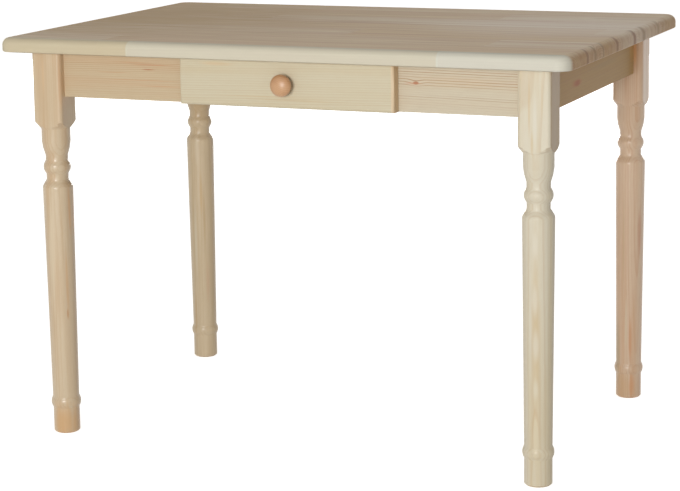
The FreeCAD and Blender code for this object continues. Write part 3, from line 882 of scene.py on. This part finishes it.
def to_piece(shape: bmesh.types.BMesh, name: str, sharp: float = CRISP) -> bpy.types.Object:
    """Turns a shape into a smoothly shaded object at the origin.

    Args:
        shape: The shape, which is freed.
        name: Name of the object.
        sharp: Edges that bend more than this many degrees stay crisp.

    Returns:
        The new object.
    """
    for face in shape.faces:
        face.smooth = True
    mesh = bpy.data.meshes.new(name)
    shape.to_mesh(mesh)
    shape.free()
    mesh.set_sharp_from_angle(angle=math.radians(sharp))
    piece = add_object(name, mesh)
    even = piece.modifiers.new("Even shading", "WEIGHTED_NORMAL")
    even.keep_sharp = True
    return piece


def dress(piece: bpy.types.Object, material: bpy.types.Material) -> None:
    """Gives a piece one material in all its slots."""
    if not piece.material_slots:
        piece.data.materials.append(material)
    for entry in piece.material_slots:
        entry.material = material


def declare(piece: bpy.types.Object, material: bpy.types.Material, body: str) -> None:
    """Gives a new piece its finish and the body it moves with."""
    dress(piece, material)
    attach(piece, body)
    log.info("%s rides on %s", piece.name, body)


def stand_in(
    node: str,
    name: str,
    material: bpy.types.Material,
    body: str,
    sharp: float = CRISP,
    rounding: Rounding | None = None,
) -> None:
    """Replaces a node by its merged, smoothly shaded copy.

    Args:
        node: The CAD node.
        name: Name of the copy.
        material: Its finish.
        body: The body it moves with.
        sharp: Edges that bend more than this many degrees stay crisp.
        rounding: How its turned corners are eased, if they are.
    """
    shape = bmesh.new()
    shape.from_mesh(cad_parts[node].data)
    bmesh.ops.remove_doubles(shape, verts=shape.verts, dist=NEAR)
    if rounding is not None:
        flat = math.radians(FLAT)
        bmesh.ops.dissolve_limit(shape, angle_limit=flat, verts=shape.verts, edges=shape.edges)
        rounding.ease(shape)
    piece = to_piece(shape, name, sharp)
    declare(piece, material, body)
    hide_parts(node)


def finish_node(node: str, material: bpy.types.Material) -> None:
    """Keeps a node's shape and gives it a finish."""
    dress(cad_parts[node], material)
    log.info("%s takes %s", node, material.name)


# ------------------------------------------------------------------ sub-assemblies

# Places of the marks at the top's right end and front edge, and how far they reach, in metres.
RIGHT_END, END_REACH = 0.556, 0.028
FRONT_EDGE, EDGE_REACH = -0.375, 0.03
# How far a finger joint's two sides overlap, in metres.
FINGER_LAP = 0.003

END_KNOT = (132, 84, 62)
END_HEART = (150, 118, 88)


def end_mark(across: float, width: float, colour: Colour, strength: float = 0.6) -> Patch:
    """A knot or heart that the saw has cut at the right end of a stave.

    Args:
        across: Its place across the panel, in metres.
        width: Half its width, in metres.
        colour: Its colour.
        strength: Share of that colour.

    Returns:
        The patch, which reaches a little way over the rounded end.
    """
    return Patch(RIGHT_END, across, END_REACH, width, colour, strength, fade=0.7)


def front_stave(start: float, end: float, colour: Colour) -> Patch:
    """A length of the front stave, finger-jointed to the next one; places in metres."""
    middle, half = (start + end) / 2, (end - start) / 2 + FINGER_LAP
    tip = FINGER_LAP / half
    return Patch(middle, FRONT_EDGE, half, EDGE_REACH, colour, 0.85, fade=0.5, tip=tip)


@dataclass(frozen=True)
class Panel:
    """The glued table top."""

    finish: StavedPine = StavedPine(
        name="pine panel",
        tones=Tones((232, 220, 197), (173, 134, 99), (202, 170, 140)),
        growth=Growth(0.0046, 0.5, lean=(0.0, 0.012), wander=0.007, streaks=0.75),
        seed=3.1,
        face=Axis.HEIGHT,
        seal=Seal(rough=0.56, shine=0.18),
        warm=(217, 194, 155),
        staves=(
            Stave(0.62, 0.62, 0.15, 0.19),
            Stave(0.35, 0.30, 0.60, 0.83),
            Stave(0.55, 0.45, 0.35, 0.55),
            Stave(0.40, 0.22, 0.80, 0.95),
            Stave(0.65, 0.55, 0.45, 0.31),
            Stave(0.30, 0.35, 0.70, 0.72),
            Stave(0.50, 0.28, 0.90, 0.12),
        ),
        patches=(
            # Painted shade: the left of the top is darker and browner, where no grazing sheen
            # falls.
            Patch(-0.60, 0.10, 0.85, 0.62, (168, 136, 84), 0.84, 0.9),
            # Painted sheen: the right middle of the top is paler, like a grazing reflection.
            Patch(0.40, 0.08, 0.34, 0.26, (236, 224, 212), 0.45, 0.8),
            Patch(-0.30, -0.24, 0.20, 0.004, (176, 132, 92), 0.5),
            Patch(-0.33, -0.295, 0.10, 0.005, (186, 140, 98), 0.5),
            Patch(0.10, -0.12, 0.22, 0.006, (176, 134, 104), 0.45),
            Patch(0.02, 0.05, 0.25, 0.008, (180, 142, 116), 0.45),
            Patch(0.30, 0.16, 0.20, 0.007, (182, 140, 106), 0.5),
            Patch(0.28, -0.20, 0.16, 0.005, (170, 130, 98), 0.5),
            Patch(-0.05, 0.27, 0.30, 0.009, (188, 142, 106), 0.4),
            front_stave(-0.560, -0.278, (204, 193, 165)),
            front_stave(-0.278, 0.318, (210, 206, 188)),
            front_stave(0.318, 0.560, (212, 212, 200)),
            end_mark(-0.262, 0.010, END_KNOT),
            end_mark(-0.215, 0.012, END_HEART),
            end_mark(-0.165, 0.008, END_HEART),
            end_mark(-0.074, 0.011, END_KNOT),
            end_mark(0.044, 0.013, END_KNOT, 0.7),
            end_mark(0.110, 0.016, END_HEART),
            end_mark(0.215, 0.012, END_HEART, 0.4),
        ),
    )

    def make(self) -> None:
        """Makes the top."""
        stand_in("table_top", "glued_top", self.finish.material(), "table")


@dataclass(frozen=True)
class TurnedLegs:
    """The four turned legs, each from its own piece of pine."""

    front_left: Pine = Pine(
        name="pine leg front left",
        tones=Tones((208, 190, 161), (176, 133, 92), (196, 166, 130)),
        growth=Growth(
            0.0036, 0.26, (-0.535, -0.250), (0.012, 0.0), late=0.5, wander=0.004, streaks=0.75
        ),
        seed=11.3,
        grain=Axis.HEIGHT,
        seal=Seal(rough=0.42, lacquer=0.4),
        patches=(
            Patch(0.300, -0.4535, 0.085, 0.0024, (200, 150, 98), 0.4),
            Patch(0.236, -0.4545, 0.014, 0.0012, (184, 124, 72), 0.65),
            Patch(0.430, -0.4478, 0.065, 0.0014, (208, 156, 106), 0.5),
            # Painted shade and reflected light, partly wood tone: an orange stripe down the block's
            # right arris, in the corner by the apron.
            Patch(0.675, -0.4470, 0.060, 0.0035, (206, 152, 104), 0.4),
            Patch(0.020, -0.4680, 0.054, 0.0340, (204, 160, 108), 0.7),
            Patch(0.360, -0.4770, 0.150, 0.0100, (215, 199, 171), 0.7),
            # Painted shade: the whole block is a little darker than the shaft.
            Patch(0.665, -0.4750, 0.120, 0.0450, (196, 172, 138), 0.45),
            Patch(0.690, -0.4800, 0.050, 0.0040, (212, 180, 140), 0.4),
        ),
    )
    front_right: Pine = Pine(
        name="pine leg front right",
        tones=Tones((215, 208, 189), (187, 156, 113), (206, 190, 154)),
        growth=Growth(
            0.0034, 0.3, (0.462, -0.205), (0.004, -0.012), late=0.45, wander=0.003, streaks=0.55
        ),
        seed=5.7,
        grain=Axis.HEIGHT,
        seal=Seal(rough=0.44, shine=0.22, lacquer=0.15),
        patches=(
            Patch(0.250, 0.4780, 0.230, 0.0110, (204, 180, 136), 0.4),
            # Painted highlights: pale strips down the front of the shaft.
            Patch(0.432, 0.4775, 0.034, 0.0080, (218, 211, 194), 0.65),
            Patch(0.338, 0.4770, 0.040, 0.0078, (218, 211, 194), 0.65),
            Patch(0.255, 0.4780, 0.038, 0.0082, (218, 211, 194), 0.65),
            Patch(0.178, 0.4780, 0.026, 0.0070, (217, 209, 188), 0.65),
            Patch(0.105, 0.4785, 0.052, 0.0085, (192, 154, 106), 0.6),
            Patch(0.094, 0.4785, 0.048, 0.0066, (214, 202, 174), 0.95, 0.5),
            Patch(0.670, 0.4670, 0.075, 0.0030, (206, 180, 134), 0.5),
            Patch(0.650, 0.4770, 0.075, 0.0060, (219, 214, 200), 0.7),
            Patch(0.610, 0.4725, 0.030, 0.0030, (206, 184, 142), 0.5),
            Patch(0.690, 0.4900, 0.060, 0.0030, (208, 188, 150), 0.4),
            # Painted shade: the block's right side and arris are darker and warmer.
            Patch(0.665, 0.5076, 0.085, 0.0040, (170, 138, 100), 0.7, 0.3, 0.2),
        ),
    )
    back_right: Pine = Pine(
        name="pine leg back right",
        tones=Tones((226, 201, 174), (197, 140, 100), (216, 178, 142)),
        growth=Growth(
            0.0040, 0.32, (0.530, 0.255), (-0.01, 0.0), late=0.45, wander=0.005, streaks=0.75
        ),
        seed=8.2,
        grain=Axis.HEIGHT,
        seal=Seal(rough=0.4, lacquer=0.4),
        patches=(
            Patch(0.120, 0.4840, 0.062, 0.0042, (212, 152, 108), 0.65),
            Patch(0.022, 0.4700, 0.050, 0.0340, (206, 166, 118), 0.5),
            Patch(0.026, 0.4870, 0.036, 0.0080, (218, 156, 110), 0.55),
            Patch(0.150, 0.4760, 0.070, 0.0035, (222, 204, 178), 0.7),
            Patch(0.100, 0.4570, 0.090, 0.0080, (182, 164, 128), 0.55),
            Patch(0.340, 0.4980, 0.060, 0.0040, (198, 142, 112), 0.5),
            Patch(0.330, 0.4700, 0.150, 0.0030, (204, 172, 132), 0.45),
            Patch(0.702, 0.4895, 0.040, 0.0060, (226, 166, 100), 0.55),
            Patch(0.660, 0.4720, 0.060, 0.0040, (204, 158, 122), 0.4),
        ),
    )
    back_left: Pine = Pine(
        name="pine leg back left",
        tones=Tones((210, 192, 162), (176, 145, 104), (192, 170, 134)),
        growth=Growth(
            0.0036, 0.3, (-0.530, 0.345), (0.01, 0.0), late=0.45, wander=0.004, streaks=0.7
        ),
        seed=1.9,
        grain=Axis.HEIGHT,
        seal=Seal(rough=0.42, lacquer=0.3),
        patches=(
            Patch(0.360, -0.4640, 0.070, 0.0035, (202, 168, 118), 0.5),
            Patch(0.170, -0.4560, 0.060, 0.0040, (206, 172, 142), 0.45),
            Patch(0.260, -0.4780, 0.120, 0.0050, (212, 202, 178), 0.6),
            # Painted shade: the block and the top of the shaft are darker, as under the table top.
            Patch(0.600, -0.4680, 0.120, 0.0380, (192, 160, 114), 0.6),
            Patch(0.460, -0.4700, 0.050, 0.0060, (214, 200, 174), 0.5),
            Patch(0.090, -0.4840, 0.070, 0.0040, (190, 158, 114), 0.5),
            Patch(0.310, -0.4590, 0.080, 0.0030, (188, 158, 116), 0.45),
        ),
    )
    rounding: Rounding = Rounding(above=0.02, below=0.56)
    crisp: float = 23.0

    def make(self) -> None:
        """Makes the legs."""
        finishes = {
            "front_left": self.front_left,
            "front_right": self.front_right,
            "back_right": self.back_right,
            "back_left": self.back_left,
        }
        for corner, finish in finishes.items():
            node, wood = f"leg_{corner}", finish.material()
            stand_in(
                node, f"turned_{node}", wood, "table", self.crisp, self.rounding
            )


@dataclass(frozen=True)
class Aprons:
    """The four aprons under the top."""

    front_left: Pine = Pine(
        name="pine front apron",
        tones=Tones((199, 182, 151), (174, 130, 94), (199, 170, 137)),
        growth=Growth(0.0034, 0.3, (0.60, -0.28), (0.012, 0.0), wander=0.0035, streaks=0.5),
        seed=2.6,
        bands=(Band(0.713, 0.012, 0.35),),
        patches=(
            Patch(-0.268, 0.7090, 0.020, 0.0016, (168, 92, 58), 0.8),
            Patch(-0.262, 0.7180, 0.060, 0.0012, (186, 122, 84), 0.6),
            Patch(-0.300, 0.7215, 0.060, 0.0011, (190, 130, 92), 0.5),
            Patch(-0.285, 0.6890, 0.110, 0.0011, (192, 136, 98), 0.5),
            Patch(-0.240, 0.6790, 0.060, 0.0012, (196, 140, 104), 0.45),
            Patch(-0.340, 0.7020, 0.050, 0.0012, (192, 134, 96), 0.4),
        ),
    )
    front_right: Pine = Pine(
        name="pine front apron right",
        tones=Tones((204, 195, 173), (156, 110, 73), (202, 183, 155)),
        growth=Growth(
            0.0043, 0.14, (0.60, -0.29), (-0.016, 0.0), late=0.55, wander=0.0035, streaks=0.3
        ),
        seed=6.4,
        knots=(Knot(0.256, 0.704, 0.0024, 0.95),),
        bands=(Band(0.7135, 0.0170, 0.7), Band(0.6790, 0.0045, 0.45), Band(0.6660, 0.004, 0.15)),
        patches=(
            Patch(0.250, 0.7030, 0.024, 0.0040, (202, 150, 124), 0.4),
            Patch(0.330, 0.7080, 0.120, 0.0150, (208, 178, 140), 0.15),
        ),
    )
    side: Pine = Pine(
        name="pine side apron right",
        tones=Tones((190, 159, 110), (172, 127, 83), (186, 147, 100)),
        growth=Growth(0.006, 0.35, (0.62, 0.47), (0.01, 0.0), wander=0.005),
        seed=9.1,
        grain=Axis.WIDTH,
        face=Axis.LENGTH,
        seal=Seal(shine=0.14),
        patches=(
            Patch(-0.115, 0.6870, 0.040, 0.0090, (190, 122, 90), 0.65),
            Patch(-0.112, 0.6865, 0.026, 0.0085, (170, 98, 68), 0.6),
            Patch(0.050, 0.7000, 0.120, 0.0080, (176, 150, 108), 0.4),
            Patch(0.258, 0.7050, 0.028, 0.0300, (208, 164, 104), 0.5),
        ),
    )
    back: Pine = Pine(
        name="pine back apron",
        tones=Tones((210, 194, 164), (178, 134, 94), (202, 174, 138)),
        growth=Growth(0.005, 0.4, (0.66, 0.24), (0.01, 0.01), wander=0.005),
        seed=4.4,
        knots=(Knot(-0.21, 0.71, 0.005, 0.7), Knot(0.3, 0.68, 0.004, 0.7)),
    )
    far_side: Pine = Pine(
        name="pine side apron left",
        tones=Tones((204, 184, 150), (176, 130, 90), (200, 168, 132)),
        growth=Growth(0.005, 0.4, (0.73, -0.42), (-0.01, 0.0), wander=0.005),
        seed=7.3,
        grain=Axis.WIDTH,
        face=Axis.LENGTH,
        knots=(Knot(0.08, 0.70, 0.005, 0.7),),
    )

    def make(self) -> None:
        """Dresses the aprons."""
        front = JoinedPine(self.front_left.name, self.front_left, self.front_right)
        finish_node("front_apron", front.material())
        finish_node("back_apron", self.back.material())
        finish_node("side_apron_right", self.side.material())
        finish_node("side_apron_left", self.far_side.material())


def quarter(
    middle: tuple[float, float], radii: tuple[float, float], start: float, steps: int
) -> list[tuple[float, float]]:
    """Points on a quarter of an oval, as radius against height.

    Args:
        middle: Its middle.
        radii: Its two half axes.
        start: Angle at which it starts, in degrees, 0 being outward.
        steps: Number of straight runs.

    Returns:
        The points from start to a quarter turn further.
    """
    angles = [math.radians(start + 90 * step / steps) for step in range(steps + 1)]
    return [
        (middle[0] + radii[0] * math.cos(angle), middle[1] + radii[1] * math.sin(angle))
        for angle in angles
    ]


@dataclass(frozen=True)
class TurnedKnob:
    """The drawer's knob, turned with a waisted neck and a domed head; sizes in metres.

    Attributes:
        foot: Radius of its foot, which sits on the drawer front.
        neck: Radius of the waist.
        neck_height: Height at which the waist ends.
        under: Radius at which the head's underside begins.
        head: Radius of the head.
        belt: Height of the widest place.
        lip: Width of the small lip between foot and waist.
        steps: Number of facets round the knob.
        rows: Number of rows of facets on the head's underside and on its dome.
        crisp: Edges that bend more than this many degrees stay crisp.
    """

    finish: KnobWood
    foot: float = 0.0108
    neck: float = 0.0092
    neck_height: float = 0.0066
    under: float = 0.0106
    head: float = 0.02
    belt: float = 0.016
    lip: float = 0.0012
    steps: int = 64
    rows: tuple[int, int] = (10, 16)
    crisp: float = 40.0

    def outline(self, height: float) -> list[tuple[float, float]]:
        """The knob's outline from the middle of its foot to the middle of its head.

        Args:
            height: Height of the knob.

        Returns:
            Pairs of radius and height.
        """
        lip, neck = self.lip, self.neck
        foot = [(0.0, 0.0), (self.foot, 0.0), (self.foot, lip / 2)]
        waist = [(neck + lip / 2, 2 * lip), (neck, self.neck_height / 2), (neck, self.neck_height)]
        flank = (self.head - self.under, self.belt - self.neck_height - lip)
        lower = quarter((self.under, self.belt), flank, -90, self.rows[0])
        dome = quarter((0.0, self.belt), (self.head, height - self.belt), 0, self.rows[1])
        return foot + waist + lower + dome[1:]

    def make(self) -> None:
        """Turns the knob about its own axis and sets it on the drawer front."""
        low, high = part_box("drawer_knob")
        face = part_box("drawer_front")[0][1]
        shape = bmesh.new()
        outline = self.outline(face - low[1])
        stops = [shape.verts.new((radius, 0.0, rise)) for radius, rise in outline]
        edges = [shape.edges.new(pair) for pair in zip(stops, stops[1:])]
        bmesh.ops.spin(
            shape,
            geom=stops + edges,
            cent=(0, 0, 0),
            axis=(0, 0, 1),
            angle=math.tau,
            steps=self.steps,
            use_merge=True,
        )
        bmesh.ops.remove_doubles(shape, verts=shape.verts, dist=NEAR / 2)
        bmesh.ops.recalc_face_normals(shape, faces=shape.faces)
        centre = Vector(((low[0] + high[0]) / 2, face, (low[2] + high[2]) / 2))
        lay = Matrix.Translation(centre) @ Matrix.Rotation(math.radians(90), 4, "X")
        bmesh.ops.transform(shape, matrix=lay, verts=shape.verts)
        piece = to_piece(shape, "turned_knob", self.crisp)
        declare(piece, self.finish.material(), "drawer")
        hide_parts("drawer_knob")


@dataclass(frozen=True)
class Drawer:
    """The drawer: moulded front, box and knob."""

    front: Pine = Pine(
        name="pine drawer front",
        tones=Tones((205, 197, 173), (183, 156, 114), (199, 184, 151)),
        growth=Growth(
            0.0040, 0.26, (0.615, -0.30), (0.022, 0.0), late=0.45, wander=0.0035, streaks=0.45
        ),
        seed=12.8,
        bands=(Band(0.674, 0.016, 0.16),),
        patches=(
            # Painted light: the rounded right end is lighter and warmer, where it turns away from
            # the lamp.
            Patch(0.2235, 0.695, 0.0065, 0.060, (222, 195, 160), 0.7, 0.1, 0.5),
            Patch(-0.120, 0.7280, 0.050, 0.0050, (210, 176, 128), 0.35),
            Patch(-0.040, 0.6720, 0.120, 0.0016, (196, 170, 124), 0.4),
            Patch(0.060, 0.6670, 0.140, 0.0014, (190, 162, 116), 0.4),
        ),
    )
    box: Pine = Pine(
        name="pine drawer box",
        tones=Tones((214, 198, 166), (184, 148, 106), (206, 182, 144)),
        growth=Growth(0.004, 0.4, (0.60, 0.10)),
        seed=14.2,
        grain=Axis.WIDTH,
        face=Axis.LENGTH,
        seal=Seal(rough=0.6, shine=0.25),
    )
    back: Pine = replace(
        box,
        name="pine drawer back",
        growth=replace(box.growth, heart=(0.62, 0.20)),
        seed=15.5,
        grain=Axis.LENGTH,
        face=Axis.WIDTH,
    )
    panel: Plywood = Plywood(name="birch plywood")
    knob: TurnedKnob = TurnedKnob(KnobWood(name="lacquered knob wood"))

    def make(self) -> None:
        """Makes the front and knob and dresses the box."""
        front = self.front.material()
        stand_in("drawer_front", "moulded_front", front, "drawer")
        self.knob.make()
        sides = self.box.material()
        finish_node("drawer_side_left", sides)
        finish_node("drawer_side_right", sides)
        finish_node("drawer_back", self.back.material())
        finish_node("drawer_bottom", self.panel.material())


@dataclass(frozen=True)
class ScrewHeads:
    """The heads of the small screws in brackets, corner blocks and kickers; sizes in metres.

    Attributes:
        radius: Radius of a head.
        height: How far it stands proud.
        crown: Radius of its flat top, as a share of its radius.
        rim: Width of the ring round the driver's hole, as a share of its radius.
        hole: Depth of the driver's hole, as a share of its height.
        sides: Number of facets round a head.
        bracket_rows: Places of the brackets along the long and the short aprons.
        bracket_hole: Distance of a bracket's holes from its bend.
        steel: Thickness of a bracket.
        block_spread: Distance of a corner block's screws from its middle, sideways and up.
        block_scale: Size of a corner block's heads against the common head.
        kicker_rows: Places of a kicker's screws along it.
        kicker_scale: Size of a kicker's heads against the common head.
    """

    radius: float = 0.0038
    height: float = 0.0016
    crown: float = 0.78
    rim: float = 0.36
    hole: float = 0.6
    sides: int = 20
    bracket_rows: tuple[float, float] = (0.32, 0.12)
    bracket_hole: float = 0.018
    steel: float = 0.002
    block_spread: tuple[float, float] = (0.026, 0.016)
    block_scale: float = 1.25
    kicker_rows: tuple[float, ...] = (-0.2, 0.0, 0.2)
    kicker_scale: float = 1.1

    def head(self, shape: bmesh.types.BMesh, place: Vector, facing: Vector, scale: float) -> None:
        """Adds one head with a round driver's hole.

        Args:
            shape: The shape that takes it.
            place: Middle of its seat.
            facing: Direction it looks.
            scale: Its size against the common head.
        """
        radius, height = self.radius * scale, self.height * scale
        lay = Matrix.Translation(place) @ facing.to_track_quat("Z", "Y").to_matrix().to_4x4()
        made = bmesh.ops.create_cone(
            shape,
            cap_ends=True,
            segments=self.sides,
            radius1=radius,
            radius2=radius * self.crown,
            depth=height,
            matrix=lay @ Matrix.Translation((0, 0, height / 2)),
        )
        caps = {face for vert in made["verts"] for face in vert.link_faces if len(face.verts) > 4}
        top = max(caps, key=lambda face: (face.calc_center_median() - place).dot(facing))
        bmesh.ops.inset_region(shape, faces=[top], thickness=radius * self.rim)
        inner = bmesh.ops.extrude_discrete_faces(shape, faces=[top])["faces"]
        verts = [vert for face in inner for vert in face.verts]
        bmesh.ops.translate(shape, vec=-facing * height * self.hole, verts=verts)

    def seats(self) -> list[tuple[Vector, Vector, float]]:
        """Finds each screw's seat.

        Returns:
            Place, direction and size of each head.
        """
        long_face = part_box("front_apron")[1][1]
        short_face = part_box("side_apron_right")[0][0]
        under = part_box("table_top")[0][2]
        down, hole, steel = Vector((0, 0, -1)), self.bracket_hole, self.steel
        long_row, short_row = self.bracket_rows
        seats = []
        for side, way in product((-1, 1), repeat=2):
            brackets = (
                (Vector((0, -way, 0)), Vector((side * long_row, -way * long_face, under))),
                (Vector((-way, 0, 0)), Vector((way * short_face, side * short_row, under))),
            )
            for inward, base in brackets:
                seats.append((base + inward * steel + down * hole, inward, 1.0))
                seats.append((base + inward * hole + down * steel, down, 1.0))
        for corner in ("front_left", "front_right", "back_left", "back_right"):
            low, high = (Vector(point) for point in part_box(f"corner_block_{corner}"))
            middle = (low + high) / 2
            inward = Vector([-math.copysign(1, value) for value in middle.xy] + [0]).normalized()
            along = Vector((-inward.y, inward.x, 0)) * self.block_spread[0]
            above = Vector((0, 0, self.block_spread[1]))
            for offset in (-along, -above, along, above):
                seats.append((middle + offset, inward, self.block_scale))
        for kicker in ("kicker_left", "kicker_right"):
            low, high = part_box(kicker)
            for row in self.kicker_rows:
                place = Vector(((low[0] + high[0]) / 2, row, low[2]))
                seats.append((place, down, self.kicker_scale))
        return seats

    def make(self, steel: bpy.types.Material) -> None:
        """Makes all heads as one piece."""
        shape = bmesh.new()
        for place, facing, scale in self.seats():
            self.head(shape, place, facing, scale)
        bmesh.ops.recalc_face_normals(shape, faces=shape.faces)
        declare(to_piece(shape, "screw_heads"), steel, "table")


@dataclass(frozen=True)
class InsideWork:
    """What holds the frame together and carries the drawer."""

    blocks: Pine = Pine(
        name="pine corner blocks",
        tones=Tones((206, 184, 148), (176, 136, 94), (196, 166, 126)),
        growth=Growth(0.0045, 0.5, (0.2, 0.9)),
        seed=21.0,
        face=Axis.HEIGHT,
        seal=Seal(rough=0.62, shine=0.22),
    )
    rails: Pine = Pine(
        name="pine runners",
        tones=Tones((210, 190, 156), (180, 140, 98), (202, 174, 136)),
        growth=Growth(0.0045, 0.5, (0.05, 0.62)),
        seed=17.7,
        grain=Axis.WIDTH,
        face=Axis.HEIGHT,
        seal=Seal(rough=0.62, shine=0.22),
    )
    button: Beech = Beech(name="beech turn button")
    steel: ZincSteel = ZincSteel(name="zinc plated steel")
    screws: ScrewHeads = ScrewHeads()

    def make(self) -> None:
        """Dresses the inside pieces."""
        for side, turn, corners in (
            ("left", 45, ("front_left", "back_right")),
            ("right", -45, ("front_right", "back_left")),
        ):
            blocks = replace(self.blocks, name=f"{self.blocks.name} {side}", turn=turn).material()
            for corner in corners:
                finish_node(f"corner_block_{corner}", blocks)
        rails = self.rails.material()
        for node in ("runner_left", "runner_right", "kicker_left", "kicker_right"):
            finish_node(node, rails)
        button = self.button.material()
        stand_in("stop_button", "turn_button", button, "stop_button")
        steel = self.steel.material()
        bodies = {"stop_screw": "table", "top_brackets": "table", "knob_screw": "drawer"}
        for node, body in bodies.items():
            stand_in(node, f"{node}_steel", steel, body)
        self.screws.make(steel)


# ------------------------------------------------------------------ studio and camera

# Height of the point over the floor's middle that the lamps face, in metres.
AIM_HEIGHT = 0.5


@dataclass(frozen=True)
class Lamp:
    """One broad lamp: its name, middle, width and height in metres, and power in watts."""

    name: str
    place: tuple[float, float, float]
    size: tuple[float, float]
    power: float

    def make(self) -> None:
        """Hangs the lamp so that it faces the table."""
        lamp = bpy.data.lights.new(self.name, "AREA")
        lamp.shape = "RECTANGLE"
        lamp.size, lamp.size_y = self.size
        lamp.energy = self.power
        stand = bpy.data.objects.new(self.name, lamp)
        aim = Vector((0.0, 0.0, AIM_HEIGHT)) - Vector(self.place)
        facing = aim.to_track_quat("-Z", "Y").to_matrix().to_4x4()
        stand.matrix_world = Matrix.Translation(self.place) @ facing
        bpy.context.scene.collection.objects.link(stand)


@dataclass(frozen=True)
class Studio:
    """Plain pale floor and soft light, mostly from the front.

    Attributes:
        ambient: Light from all round.
        ambient_colour: Its colour, a little warm.
        lamps: The broad lamps.
        floor_reach: Half the floor's side.
        floor_colour: The floor's colour.
        floor_glow: Brightness added to the floor for the eye only.
    """

    ambient: float = 0.37
    ambient_colour: tuple[float, float, float] = (1.0, 0.965, 0.90)
    lamps: tuple[Lamp, ...] = (
        Lamp("front_lamp", (0.55, -6.0, 1.30), (1.8, 1.3), 192.0),
        Lamp("back_lamp", (-2.00, 5.6, 0.46), (5.0, 0.84), 125.0),
    )
    floor_reach: float = 22.0
    floor_colour: Colour = (243, 243, 243)
    floor_glow: float = 0.76

    def seen(self, shader: Shader) -> Wire:
        """One for rays from the eye, mirrors and glass, else zero."""
        path = shader.node("ShaderNodeLightPath", output="Is Camera Ray")
        outputs = path.socket.node.outputs
        mirror = Wire(shader, outputs["Is Glossy Ray"])
        glass = Wire(shader, outputs["Is Transmission Ray"])
        return (path + mirror + glass) > 0.5

    def make_world(self) -> None:
        """White to the eye, softer as light."""
        world = bpy.data.worlds.new("studio")
        bpy.context.scene.world = world
        shader = Shader(world)
        glow = (*self.ambient_colour, 1)
        dim = shader.node("ShaderNodeBackground", None, {0: glow, 1: self.ambient})
        white = shader.node("ShaderNodeBackground", None, {0: (1, 1, 1, 1), 1: 1.0})
        both = shader.node("ShaderNodeMixShader", None, {0: self.seen(shader), 1: dim, 2: white})
        shader.node("ShaderNodeOutputWorld", None, {"Surface": both})

    def make_floor(self) -> None:
        """A wide matt floor that keeps the table's shadow."""
        shape = bmesh.new()
        bmesh.ops.create_grid(shape, x_segments=1, y_segments=1, size=self.floor_reach)
        mesh = bpy.data.meshes.new("studio_floor")
        shape.to_mesh(mesh)
        shape.free()
        floor = add_object("studio_floor", mesh)
        shader = Shader(bpy.data.materials.new("matt white floor"))
        glow = shader.mix(self.seen(shader), (0, 0, 0, 1), (self.floor_glow,) * 3 + (1,))
        sockets = {
            "Base Color": linear(self.floor_colour),
            "Roughness": 0.9,
            "Specular IOR Level": 0.0,
            "Emission Color": glow,
            "Emission Strength": 1.0,
        }
        shader.finish(sockets)
        dress(floor, shader.owner)

    def make(self) -> None:
        """Sets up the light and the floor."""
        bpy.context.scene.view_settings.view_transform = "Standard"
        self.make_world()
        self.make_floor()
        for lamp in self.lamps:
            lamp.make()
        log.info("studio ready")


@dataclass(frozen=True)
class Viewpoint:
    """Where the table is seen from.

    Attributes:
        place: Place of the camera, in metres.
        turn: Turn to the left from straight ahead, in degrees.
        dip: Dip below the horizon, in degrees.
        roll: Roll of the camera, in degrees.
        focal: Focal length in pixels of the picture.
        picture: Width and height of the picture in pixels.
        axis_row: Row of the picture that the camera points at.
        sensor: Width of the camera's sensor, in millimetres.
    """

    place: tuple[float, float, float] = (1.54930, -3.70420, 1.18116)
    turn: float = 22.99
    dip: float = 10.10
    roll: float = -0.88
    focal: float = 2105.74
    picture: tuple[int, int] = (680, 491)
    axis_row: float = 180.0
    sensor: float = 36.0

    def make(self) -> None:
        """Makes the camera."""
        turn, dip, roll = (math.radians(a) for a in (self.turn, self.dip, self.roll))
        ahead = Vector(
            (-math.sin(turn) * math.cos(dip), math.cos(turn) * math.cos(dip), -math.sin(dip))
        )
        level = Vector((math.cos(turn), math.sin(turn), 0.0))
        upright = level.cross(ahead)
        right = level * math.cos(roll) + upright * math.sin(roll)
        up = upright * math.cos(roll) - level * math.sin(roll)
        camera = bpy.data.cameras.new("camera")
        camera.sensor_width = self.sensor
        camera.sensor_fit = "HORIZONTAL"
        width, height = self.picture
        camera.lens = self.focal / width * self.sensor
        camera.shift_y = (self.axis_row - height / 2) / width
        camera.clip_end = 100.0
        stand = bpy.data.objects.new("camera", camera)
        facing = Matrix((right, up, -ahead)).transposed().to_4x4()
        stand.matrix_world = Matrix.Translation(self.place) @ facing
        bpy.context.scene.collection.objects.link(stand)
        bpy.context.scene.camera = stand


def main() -> None:
    """Builds the table's looks from the top down, then the studio and the camera."""
    logging.basicConfig(level=logging.INFO, format="%(message)s")
    Panel().make()
    TurnedLegs().make()
    Aprons().make()
    Drawer().make()
    InsideWork().make()
    Studio().make()
    Viewpoint().make()


if __name__ == "__main__":
    main()
